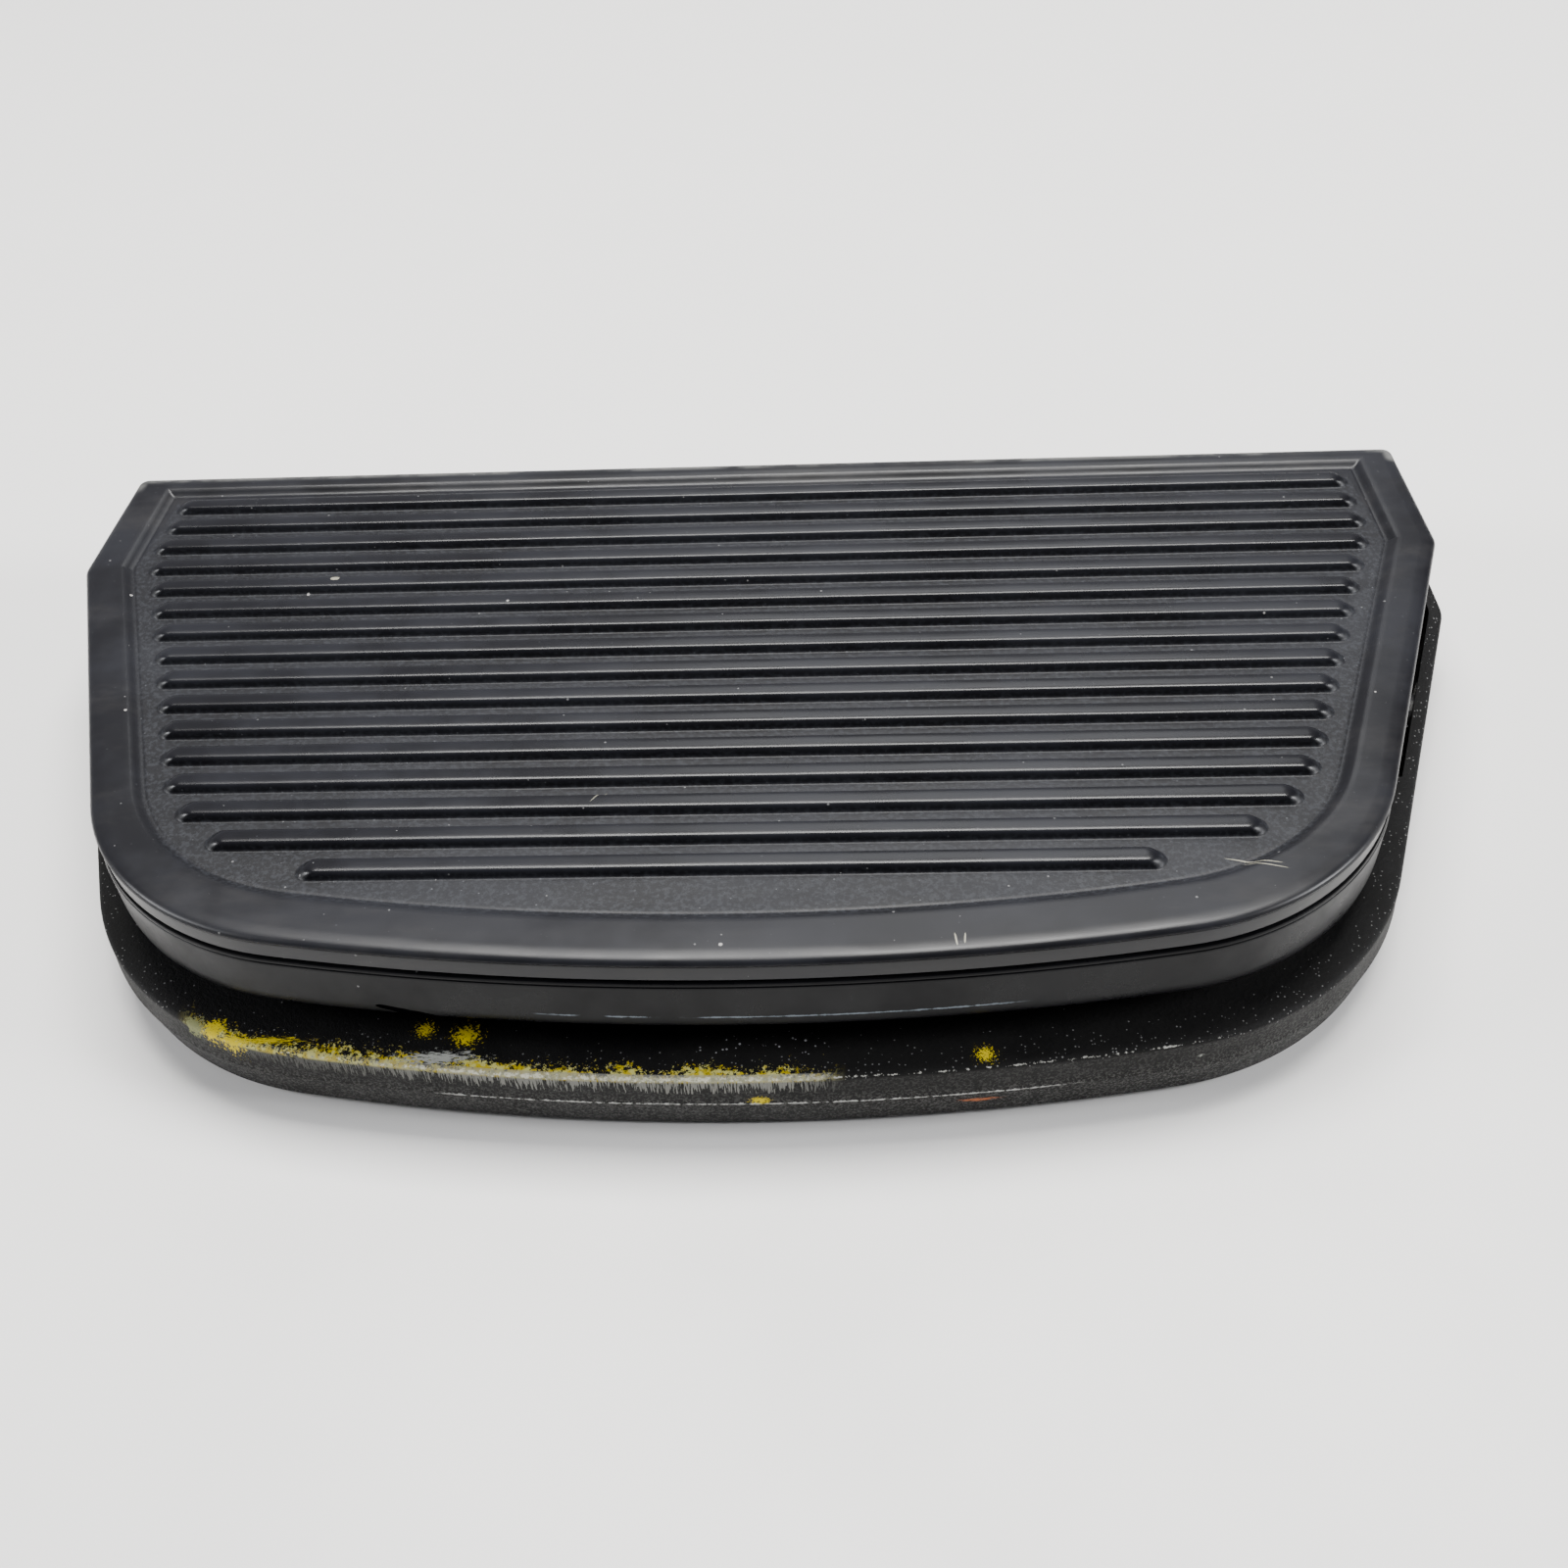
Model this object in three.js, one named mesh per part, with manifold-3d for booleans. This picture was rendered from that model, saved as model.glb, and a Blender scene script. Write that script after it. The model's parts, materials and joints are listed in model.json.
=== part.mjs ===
// A volume pedal: a ribbed, rubber-covered treadle that rocks in a shallow cast tray and
// turns a potentiometer through a toothed sector. Millimetres, +Z up, straight rear edge
// towards +Y, bowed front edge towards -Y. The origin is on the resting surface, under the
// middle of the pivot axis.

import * as THREE from 'three';
import { mergeVertices } from 'three/addons/utils/BufferGeometryUtils.js';
import Module from 'manifold-3d';

const wasm = await Module();
wasm.setup();

// ---- Driving dimensions -------------------------------------------------------------

// Outline of the treadle, seen from above
const TREAD_WIDTH = 250;
const TREAD_DEPTH = 133;
const REAR_SIDE_LENGTH = 31.6;
const REAR_CORNER_DRAW = 1.4;
const SIDE_TAPER = THREE.MathUtils.degToRad(18.2);
const FRONT_CORNER_RADIUS = 45;
const FRONT_BOW_RADIUS = 403;
const REAR_CORNER_RADIUS = 2.0;
const SIDE_BEND_RADIUS = 6.1;

// Heights: the tray's and the pivot's from the underside of the tray, the tread's from the pivot
const FOOT_PROUD = 1.0;
const RIM_HEIGHT = 12.9;
const RIDGE_HEIGHT = 6.85;
const PIVOT_HEIGHT = 14;
const TREAD_ABOVE_PIVOT = 16.9;

// Tray
const TRAY_OVERHANG = 4.3;
const TRAY_WALL = 2.6;
const TRAY_FLOOR = 2.4;
const TRAY_TUCK = 1.5;
const RIM_ROUNDING = 0.6;
const LEDGE_THICKNESS = 3.0;
const LEDGE_INSET = 12;
const LEDGE_REAR_Y = -9;

// Treadle
const MAT_THICKNESS = 4.6;
const BAND_HEIGHT = 9.9;
const BAND_THICKNESS = 3.0;
const BAND_LEAN = 0.5;
const PAN_THICKNESS = 2.0;
const PAN_LIP_WALL = 1.5;
const PAN_LIP_DEPTH = 9.0;
const PANEL_INSET_SIDE = 7.4;
const PANEL_INSET_REAR = 4.9;
const PANEL_INSET_FRONT = 9.4;
const PANEL_RECESS = 0.8;
const PANEL_SLOPE = 2.6;

// Ribs of the tread
const RIB_COUNT = 16;
const RIB_PITCH = 6.79;
const RIB_WIDTH = 4.4;
const RIB_CREST = 2.2;
const RIB_HEIGHT = 1.3;
const RIB_END_MARGIN = 3.1;
const FIRST_RIB_FROM_REAR = 10.6;
const RIB_SINK = 0.5;

// Rocking from level to each end stop, and how far the front is up at rest
const REAR_DOWN = THREE.MathUtils.degToRad(10);
const FRONT_DOWN = THREE.MathUtils.degToRad(2.4);
const REST_TILT = THREE.MathUtils.degToRad(2.9);

// Hinges, one each side
const HINGE_INSET = 25.5;
const EAR_THICKNESS = 2.0;
const EAR_HALF_WIDTH = 7;
const FLANGE_LENGTH = 17;
const FLANGE_THICKNESS = 1.6;
const PIN_RADIUS = 3.0;
const PIN_HEAD_RADIUS = 5.0;
const PIN_HEAD_HEIGHT = 2.0;
const BUSH_WALL = 1.2;
const BUSH_FLANGE = 1.8;
const WASHER_THICKNESS = 1.4;
const WASHER_RADIUS = 6.5;
const CLIP_THICKNESS = 0.8;
const CLIP_RADIUS = 4.8;
const GROOVE_DEPTH = 0.6;

// Toothed sector and pinion
const GEAR_MODULE = 0.8;
const SECTOR_TEETH_IN_FULL_CIRCLE = 72;
const SECTOR_LOWEST_TOOTH = -1;
const SECTOR_HIGHEST_TOOTH = 3;
const PINION_TEETH = 10;
const PRESSURE_ANGLE = THREE.MathUtils.degToRad(20);
const BACKLASH = 0.2;
const PINION_ADDENDUM = 0.75;
const SECTOR_ADDENDUM = 0.45;
const PINION_DEDENDUM = 0.8;
const SECTOR_DEDENDUM = 1.05;
const PINION_DROP_ANGLE = THREE.MathUtils.degToRad(4);
const SECTOR_THICKNESS = 4;
const SECTOR_X = 0;
const SECTOR_ARM_DEPTH = 5.5;
const SECTOR_FOOT_THICKNESS = 2.3;
const SECTOR_FOOT_WIDTH = 14;
const SECTOR_FOOT_LENGTH = 12;

// Potentiometer
const POT_SHAFT_RADIUS = 2.0;
const POT_BUSHING_RADIUS = 3.5;
const POT_BODY_SIDE = 9.5;
const POT_BODY_LENGTH = 7;
const POT_BRACKET_GAUGE = 1.2;
const POT_BRACKET_HALF_WIDTH = 7;
const POT_FLANGE_LENGTH = 13;
const POT_NUT_RADIUS = 5.2;
const POT_NUT_THICKNESS = 1.8;
const POT_WASHER_THICKNESS = 0.5;

// Jack sockets for 6.35 mm plugs, one each side
const JACK_Y = 12;
const JACK_HEIGHT = 7.0;
const JACK_BORE_RADIUS = 3.25;
const JACK_COLLAR_RADIUS = 4.1;
const JACK_BODY_WIDTH = 14;
const JACK_BODY_HEIGHT = 8.6;
const JACK_BODY_LENGTH = 23;
const JACK_BORE_DEPTH = 22;
const JACK_TAB_LENGTH = 8;
const JACK_TAB_WIDTH = 6;
const JACK_TAB_THICKNESS = 2;

// Feet and end stops
const FOOT_RADIUS = 7;
const FOOT_SINK = 1.0;
const FOOT_FROM_SIDE = 22;
const FOOT_FROM_END = 20;
const BUMPER_RADIUS = 5;
const BUMPER_FROM_SIDE = 55;
const BUMPER_FROM_REAR = 21.5;

// Screws, all one size
const SCREW_RADIUS = 1.5;
const SCREW_HEAD_RADIUS = 2.8;
const SCREW_HEAD_HEIGHT = 1.7;
const SCREW_BITE = 1.4;
const SCREW_SLOT_WIDTH = 0.7;
const SCREW_SLOT_DEPTH = 0.8;

// Leads from the jacks to the potentiometer
const LEAD_RADIUS = 1.1;
const LEAD_STEPS = 28;

// Room left between pieces that touch on the real object
const GAP = 0.3;
const HOLE_CLEARANCE = 0.3;

// ---- Levels and places that follow from them -----------------------------------------

const trayBottom = FOOT_PROUD;
const floorTop = trayBottom + TRAY_FLOOR;
const rimTop = trayBottom + RIM_HEIGHT;
const pivotZ = trayBottom + PIVOT_HEIGHT;

// Levels of the treadle, counted from the pivot
const matBottom = TREAD_ABOVE_PIVOT - MAT_THICKNESS;
const bandTop = matBottom - GAP;
const bandBottom = bandTop - BAND_HEIGHT;
const panBottom = bandTop - PAN_THICKNESS;
const panInset = BAND_THICKNESS + GAP;

const sectorPitchRadius = GEAR_MODULE * SECTOR_TEETH_IN_FULL_CIRCLE / 2;
const pinionPitchRadius = GEAR_MODULE * PINION_TEETH / 2;
const gearCentres = sectorPitchRadius + pinionPitchRadius;
const gearRatio = SECTOR_TEETH_IN_FULL_CIRCLE / PINION_TEETH;
const potY = gearCentres * Math.cos(PINION_DROP_ANGLE);
const potZ = pivotZ - gearCentres * Math.sin(PINION_DROP_ANGLE);

// ---- Materials -------------------------------------------------------------------------

const finish = (color, roughness, metalness) =>
  new THREE.MeshStandardMaterial({ color, roughness, metalness });

const FINISHES = {
  treadRubber: () => finish(0x1c1d20, 0.45, 0),
  bandRubber: () => finish(0x1a1b1d, 0.4, 0),
  trayCoat: () => finish(0x17181a, 0.75, 0.1),
  alloy: () => finish(0x9a9c9f, 0.4, 0.9),
  zincSteel: () => finish(0xb4b6b8, 0.35, 0.9),
  brass: () => finish(0xb08d4a, 0.35, 0.9),
  nylon: () => finish(0xd9d7cf, 0.55, 0),
  blackPlastic: () => finish(0x202124, 0.5, 0),
  softRubber: () => finish(0x141414, 0.9, 0),
  leadJacket: () => finish(0x2b2b2e, 0.6, 0),
};

// ---- Solids: making, joining and cutting ------------------------------------------------

function solid(geometry) {
  const plain = geometry.clone();
  plain.deleteAttribute('normal');
  plain.deleteAttribute('uv');
  const merged = mergeVertices(plain, 1e-4);
  return new wasm.Manifold(new wasm.Mesh({
    numProp: 3,
    vertProperties: new Float32Array(merged.attributes.position.array),
    triVerts: new Uint32Array(merged.index.array),
  }));
}

function geometryOf(body) {
  const mesh = body.getMesh();
  const geometry = new THREE.BufferGeometry();
  geometry.setAttribute('position', new THREE.BufferAttribute(mesh.vertProperties, 3));
  geometry.setIndex(new THREE.BufferAttribute(mesh.triVerts, 1));
  return geometry;
}

function join(...bodies) {
  return bodies.reduce((whole, body) => whole.add(body));
}

function cut(body, ...tools) {
  return tools.reduce((rest, tool) => rest.subtract(tool), body);
}

function box(xa, xb, ya, yb, za, zb) {
  const geometry = new THREE.BoxGeometry(Math.abs(xb - xa), Math.abs(yb - ya), Math.abs(zb - za));
  geometry.translate((xa + xb) / 2, (ya + yb) / 2, (za + zb) / 2);
  return solid(geometry);
}

function rodX(radius, xa, xb, y, z, sides = 24) {
  const geometry = new THREE.CylinderGeometry(radius, radius, Math.abs(xb - xa), sides);
  geometry.rotateZ(Math.PI / 2);
  geometry.translate((xa + xb) / 2, y, z);
  return solid(geometry);
}

function rodZ(radius, x, y, za, zb, sides = 24, topRadius = radius) {
  const geometry = new THREE.CylinderGeometry(topRadius, radius, zb - za, sides);
  geometry.rotateX(Math.PI / 2);
  geometry.translate(x, y, (za + zb) / 2);
  return solid(geometry);
}

// An outline drawn in (y, z) and given a thickness along X
function plateX(shape, xa, xb) {
  const geometry = new THREE.ExtrudeGeometry(shape, { depth: xb - xa, bevelEnabled: false });
  const turn = new THREE.Matrix4().makeBasis(
    new THREE.Vector3(0, 1, 0), new THREE.Vector3(0, 0, 1), new THREE.Vector3(1, 0, 0));
  geometry.applyMatrix4(turn);
  geometry.translate(xa, 0, 0);
  return solid(geometry);
}

// A closed stack of convex rings, lowest first, each with the same number of points
function ringStack(rings) {
  const count = rings[0].points.length;
  const positions = [];
  const index = [];
  for (const ring of rings) {
    for (const point of ring.points) {
      positions.push(point.x, point.y, ring.z);
    }
  }
  for (let level = 0; level < rings.length - 1; level += 1) {
    for (let i = 0; i < count; i += 1) {
      const a = level * count + i;
      const b = level * count + (i + 1) % count;
      index.push(a, b, b + count, a, b + count, a + count);
    }
  }
  const top = rings.length - 1;
  const centre = (ring) => ring.points.reduce(
    (sum, point) => sum.add(point), new THREE.Vector2()).divideScalar(count);
  for (const [level, facesUp] of [[0, false], [top, true]]) {
    const middle = centre(rings[level]);
    const hub = positions.length / 3;
    positions.push(middle.x, middle.y, rings[level].z);
    for (let i = 0; i < count; i += 1) {
      const a = level * count + i;
      const b = level * count + (i + 1) % count;
      index.push(hub, facesUp ? a : b, facesUp ? b : a);
    }
  }
  const geometry = new THREE.BufferGeometry();
  geometry.setAttribute('position', new THREE.Float32BufferAttribute(positions, 3));
  geometry.setIndex(index);
  return solid(geometry);
}

// ---- The outline that the treadle, band, pan and tray share -------------------------------

function crossing(pointA, alongA, pointB, alongB) {
  const between = pointB.clone().sub(pointA);
  const turn = alongA.x * alongB.y - alongA.y * alongB.x;
  const reach = (between.x * alongB.y - between.y * alongB.x) / turn;
  return pointA.clone().addScaledVector(alongA, reach);
}

function arcPoints(centre, radius, from, to, steps) {
  const points = [];
  for (let i = 0; i <= steps; i += 1) {
    const angle = from + (to - from) * i / steps;
    points.push(new THREE.Vector2(
      centre.x + radius * Math.cos(angle), centre.y + radius * Math.sin(angle)));
  }
  return points;
}

// Rounds the corner between two straight sides whose outward normals are at these angles
function roundedCorner(corner, normalA, normalB, radius, steps) {
  const half = (normalB - normalA) / 2;
  const middle = (normalA + normalB) / 2;
  const centre = new THREE.Vector2(
    corner.x - radius / Math.cos(half) * Math.cos(middle),
    corner.y - radius / Math.cos(half) * Math.sin(middle));
  return arcPoints(centre, radius, normalA, normalB, steps);
}

const taperNormal = -SIDE_TAPER;
const rearSideNormal = Math.atan2(REAR_CORNER_DRAW, REAR_SIDE_LENGTH);
const bendPoint = new THREE.Vector2(TREAD_WIDTH / 2, TREAD_DEPTH / 2 - REAR_SIDE_LENGTH);

const normalAt = (angle) => new THREE.Vector2(Math.cos(angle), Math.sin(angle));
const alongAt = (angle) => new THREE.Vector2(-Math.sin(angle), Math.cos(angle));

// Half the width of the outline at a given y, on the tapered side, moved inwards by inset
function halfWidthAt(y, inset = 0) {
  const onSide = bendPoint.clone().addScaledVector(normalAt(taperNormal), -inset);
  const row = new THREE.Vector2(0, y);
  return crossing(onSide, alongAt(taperNormal), row, new THREE.Vector2(1, 0)).x;
}

// The whole outline, counter-clockwise from above, moved inwards by inset
function outline(inset, rearInset = inset, frontInset = inset) {
  const tapered = bendPoint.clone().addScaledVector(normalAt(taperNormal), -inset);
  const rearSide = bendPoint.clone().addScaledVector(normalAt(rearSideNormal), -inset);
  const rearEdge = new THREE.Vector2(0, TREAD_DEPTH / 2 - rearInset);
  const bend = crossing(tapered, alongAt(taperNormal), rearSide, alongAt(rearSideNormal));
  const corner = crossing(rearSide, alongAt(rearSideNormal), rearEdge, new THREE.Vector2(1, 0));

  const bowRadius = FRONT_BOW_RADIUS - frontInset;
  const bowCentre = new THREE.Vector2(0, -TREAD_DEPTH / 2 + FRONT_BOW_RADIUS);
  const cornerRadius = Math.max(FRONT_CORNER_RADIUS - inset, 2);
  const start = tapered.clone().addScaledVector(normalAt(taperNormal), -cornerRadius);
  const along = alongAt(taperNormal).negate();
  const away = start.clone().sub(bowCentre);
  const half = away.dot(along);
  const rest = away.lengthSq() - (bowRadius - cornerRadius) ** 2;
  const centre = start.clone().addScaledVector(along, -half + Math.sqrt(half * half - rest));
  const bowEnd = Math.atan2(centre.y - bowCentre.y, centre.x - bowCentre.x);

  const minimum = 0.4;
  const right = [
    ...arcPoints(bowCentre, bowRadius, -Math.PI / 2, bowEnd, 7).slice(0, -1),
    ...arcPoints(centre, cornerRadius, bowEnd, taperNormal, 8),
    ...roundedCorner(bend, taperNormal, rearSideNormal, Math.max(SIDE_BEND_RADIUS - inset, minimum), 2),
    ...roundedCorner(
      corner, rearSideNormal, Math.PI / 2, Math.max(REAR_CORNER_RADIUS - inset, minimum), 4),
  ];
  const left = right.slice(1).reverse().map((point) => new THREE.Vector2(-point.x, point.y));
  return [...right, ...left];
}

// Where the bowed front of the outline, moved inwards by inset, passes a given x
function frontEdgeAt(x, inset) {
  const edge = outline(inset).filter((point) => point.x >= 0);
  const next = edge.findIndex((point) => point.x > x);
  const [a, b] = [edge[next - 1], edge[next]];
  return a.y + (b.y - a.y) * (x - a.x) / (b.x - a.x);
}

const ring = (inset, z) => ({ points: outline(inset), z });

// ---- Building the scene graph ----------------------------------------------------------------

const part = new THREE.Group();
const treadle = new THREE.Group();
treadle.position.z = pivotZ;
treadle.rotation.x = -REST_TILT;
part.add(treadle);

const shaftGroup = new THREE.Group();
shaftGroup.position.set(SECTOR_X, potY, potZ);
shaftGroup.rotation.x = gearRatio * REST_TILT;
part.add(shaftGroup);

function addPiece(group, name, body, material) {
  const mesh = new THREE.Mesh(geometryOf(body), material());
  mesh.name = name;
  group.add(mesh);
}

const SIDES = [['left', -1], ['right', 1]];

// ---- Screws -------------------------------------------------------------------------------------

// A pan-head screw whose head rests at headZ and whose shank runs the other way
function screw(x, y, headZ, shank, pointsDown) {
  const way = pointsDown ? 1 : -1;
  const span = (a, b) => [Math.min(a, b), Math.max(a, b)];
  const [headLow, headHigh] = span(headZ, headZ + way * SCREW_HEAD_HEIGHT);
  const [shankLow, shankHigh] = span(headZ + way * 0.2, headZ - way * shank);
  const [slotLow, slotHigh] = span(
    headZ + way * (SCREW_HEAD_HEIGHT - SCREW_SLOT_DEPTH), headZ + way * (SCREW_HEAD_HEIGHT + 1));
  const crown = SCREW_HEAD_RADIUS * 0.7;
  const lowRadius = pointsDown ? SCREW_HEAD_RADIUS : crown;
  const highRadius = pointsDown ? crown : SCREW_HEAD_RADIUS;
  const reach = SCREW_HEAD_RADIUS * 0.6;
  const half = SCREW_SLOT_WIDTH / 2;
  return cut(
    join(
      rodZ(lowRadius, x, y, headLow, headHigh, 16, highRadius),
      rodZ(SCREW_RADIUS, x, y, shankLow, shankHigh, 12)),
    box(x - reach, x + reach, y - half, y + half, slotLow, slotHigh),
    box(x - half, x + half, y - reach, y + reach, slotLow, slotHigh));
}

const screwHole = (x, y, za, zb) => rodZ(SCREW_RADIUS + HOLE_CLEARANCE, x, y, za, zb, 12);

// Screws into the tray floor stop inside it; this is the blind hole that takes them
const floorHole = (x, y) => screwHole(x, y, floorTop - SCREW_BITE - GAP, floorTop + 1);
const panHole = (x, y) => screwHole(x, y, panBottom - 1, panBottom + SCREW_BITE + GAP);

// ---- Places of the repeated pieces -----------------------------------------------------------------

const hingeX = halfWidthAt(0) - HINGE_INSET;
const earTop = PIN_RADIUS + BUSH_WALL + 3;
const flangeZ = floorTop + GAP;

const baseScrewSpots = [];
const panScrewSpots = [];

const hingeSpots = (side) => {
  const x = side * (hingeX - FLANGE_LENGTH + 4.5);
  return [[x, -4.2], [x, 4.2]];
};
const lugSpots = (side) => {
  const x = side * (hingeX - EAR_THICKNESS - WASHER_THICKNESS - 2 * GAP - FLANGE_LENGTH + 4.5);
  return [[x, -4.2], [x, 4.2]];
};

const jackBodyEnd = halfWidthAt(JACK_Y - JACK_BODY_WIDTH / 2, -TRAY_OVERHANG + TRAY_WALL) - GAP;
const jackMouth = halfWidthAt(JACK_Y - JACK_COLLAR_RADIUS, -TRAY_OVERHANG) - GAP;
const jackZ = trayBottom + JACK_HEIGHT;
const jackScrewSpot = (side) => [
  side * (jackBodyEnd - JACK_BODY_LENGTH / 2), JACK_Y + JACK_BODY_WIDTH / 2 + JACK_TAB_WIDTH / 2];

const potBracketX = SECTOR_X + SECTOR_THICKNESS + 4;
const potBodyX = potBracketX + POT_BRACKET_GAUGE + GAP;
const potScrewX = potBracketX + POT_FLANGE_LENGTH - 3.2;
const potScrewSpots = [[potScrewX, potY - 4.2], [potScrewX, potY + 4.2]];

const sectorFootX = SECTOR_X + SECTOR_THICKNESS - SECTOR_FOOT_LENGTH - 4;
const sectorFootY = sectorPitchRadius * 0.56;
const sectorScrewSpots = [
  [sectorFootX + 4.5, sectorFootY - 3.6], [sectorFootX + 4.5, sectorFootY + 3.6]];

const footSpots = [];
const bumperSpots = [];
for (const [sideName, side] of SIDES) {
  for (const [endName, end] of [['front', -1], ['rear', 1]]) {
    const footY = end * (TREAD_DEPTH / 2 - FOOT_FROM_END);
    const footX = Math.min(halfWidthAt(footY), TREAD_WIDTH / 2) - FOOT_FROM_SIDE;
    footSpots.push({ name: `foot_${endName}_${sideName}`, x: side * footX, y: footY });
    const bumperX = halfWidthAt(0) - BUMPER_FROM_SIDE;
    const bumperY = end > 0
      ? TREAD_DEPTH / 2 - BUMPER_FROM_REAR
      : frontEdgeAt(bumperX, LEDGE_INSET + BUMPER_RADIUS + GAP);
    const limit = end > 0 ? REAR_DOWN : FRONT_DOWN;
    const bumperName = `stop_bumper_${endName}_${sideName}`;
    bumperSpots.push({ name: bumperName, x: side * bumperX, y: bumperY, limit });
  }
  baseScrewSpots.push(...hingeSpots(side), jackScrewSpot(side));
  panScrewSpots.push(...lugSpots(side));
}
baseScrewSpots.push(...potScrewSpots);
panScrewSpots.push(...sectorScrewSpots);

// ---- Base tray --------------------------------------------------------------------------------------

function baseTray() {
  const outside = ringStack([
    ring(-TRAY_OVERHANG + TRAY_TUCK, trayBottom),
    ring(-TRAY_OVERHANG, trayBottom + RIDGE_HEIGHT),
    ring(-TRAY_OVERHANG + 0.1, rimTop - RIM_ROUNDING),
    ring(-TRAY_OVERHANG + 0.1 + RIM_ROUNDING, rimTop),
  ]);
  const wallInset = -TRAY_OVERHANG + TRAY_WALL;
  const ledgeBottom = rimTop - LEDGE_THICKNESS;
  const belowLedge = ringStack([ring(wallInset, floorTop), ring(wallInset, ledgeBottom)]);
  const behindLedge = ringStack([ring(wallInset, ledgeBottom - 1), ring(wallInset, rimTop + 1)])
    .intersect(box(-TREAD_WIDTH, TREAD_WIDTH, LEDGE_REAR_Y, TREAD_DEPTH, 0, rimTop + 2));
  const well = ringStack([ring(LEDGE_INSET, ledgeBottom - 1), ring(LEDGE_INSET, rimTop + 1)]);
  const footPockets = footSpots.map(({ x, y }) =>
    rodZ(FOOT_RADIUS + GAP, x, y, trayBottom - 1, trayBottom + FOOT_SINK + GAP, 28));
  const jackHoles = SIDES.map(([, side]) =>
    rodX(JACK_COLLAR_RADIUS + GAP, side * (jackBodyEnd - 1), side * (jackMouth + 12), JACK_Y, jackZ));
  const screwHoles = baseScrewSpots.map(([x, y]) => floorHole(x, y));
  return cut(
    outside, belowLedge, behindLedge, well, ...footPockets, ...jackHoles, ...screwHoles);
}

addPiece(part, 'base_tray', baseTray(), FINISHES.trayCoat);

for (const { name, x, y } of footSpots) {
  const foot = rodZ(FOOT_RADIUS - 0.6, x, y, 0, trayBottom + FOOT_SINK, 28, FOOT_RADIUS);
  addPiece(part, name, foot, FINISHES.softRubber);
}

// ---- End stops: the pan meets these just past each end of its travel -------------------------------

for (const { name, x, y, limit } of bumperSpots) {
  const reach = Math.abs(y) + BUMPER_RADIUS;
  const top = pivotZ + panBottom * Math.cos(limit) - reach * Math.sin(limit) - GAP;
  const shoulder = top - 1.2;
  const bumper = join(
    rodZ(BUMPER_RADIUS, x, y, floorTop + GAP, shoulder, 20),
    rodZ(BUMPER_RADIUS, x, y, shoulder, top, 20, BUMPER_RADIUS - 1.4));
  addPiece(part, name, bumper, FINISHES.softRubber);
}

// ---- Hinges -------------------------------------------------------------------------------------------

// An angle bracket: an upright ear with a pin hole, and a flange that runs towards the middle
function angleBracket(side, earX, pinHole, pinZ, flangeLow, flangeHigh, earEnd, spots) {
  const innerFace = earX - EAR_THICKNESS;
  const ear = join(
    rodX(earTop, side * innerFace, side * earX, 0, pinZ, 28),
    box(side * innerFace, side * earX, -EAR_HALF_WIDTH, EAR_HALF_WIDTH,
      earEnd, pinZ + (earEnd < pinZ ? -1 : 1)));
  const flange = box(side * (earX - FLANGE_LENGTH), side * earX,
    -EAR_HALF_WIDTH, EAR_HALF_WIDTH, flangeLow, flangeHigh);
  const holes = spots.map(([x, y]) => screwHole(x, y, flangeLow - 1, flangeHigh + 1));
  return cut(join(ear, flange),
    rodX(pinHole, side * (innerFace - 1), side * (earX + 1), 0, pinZ), ...holes);
}

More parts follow.
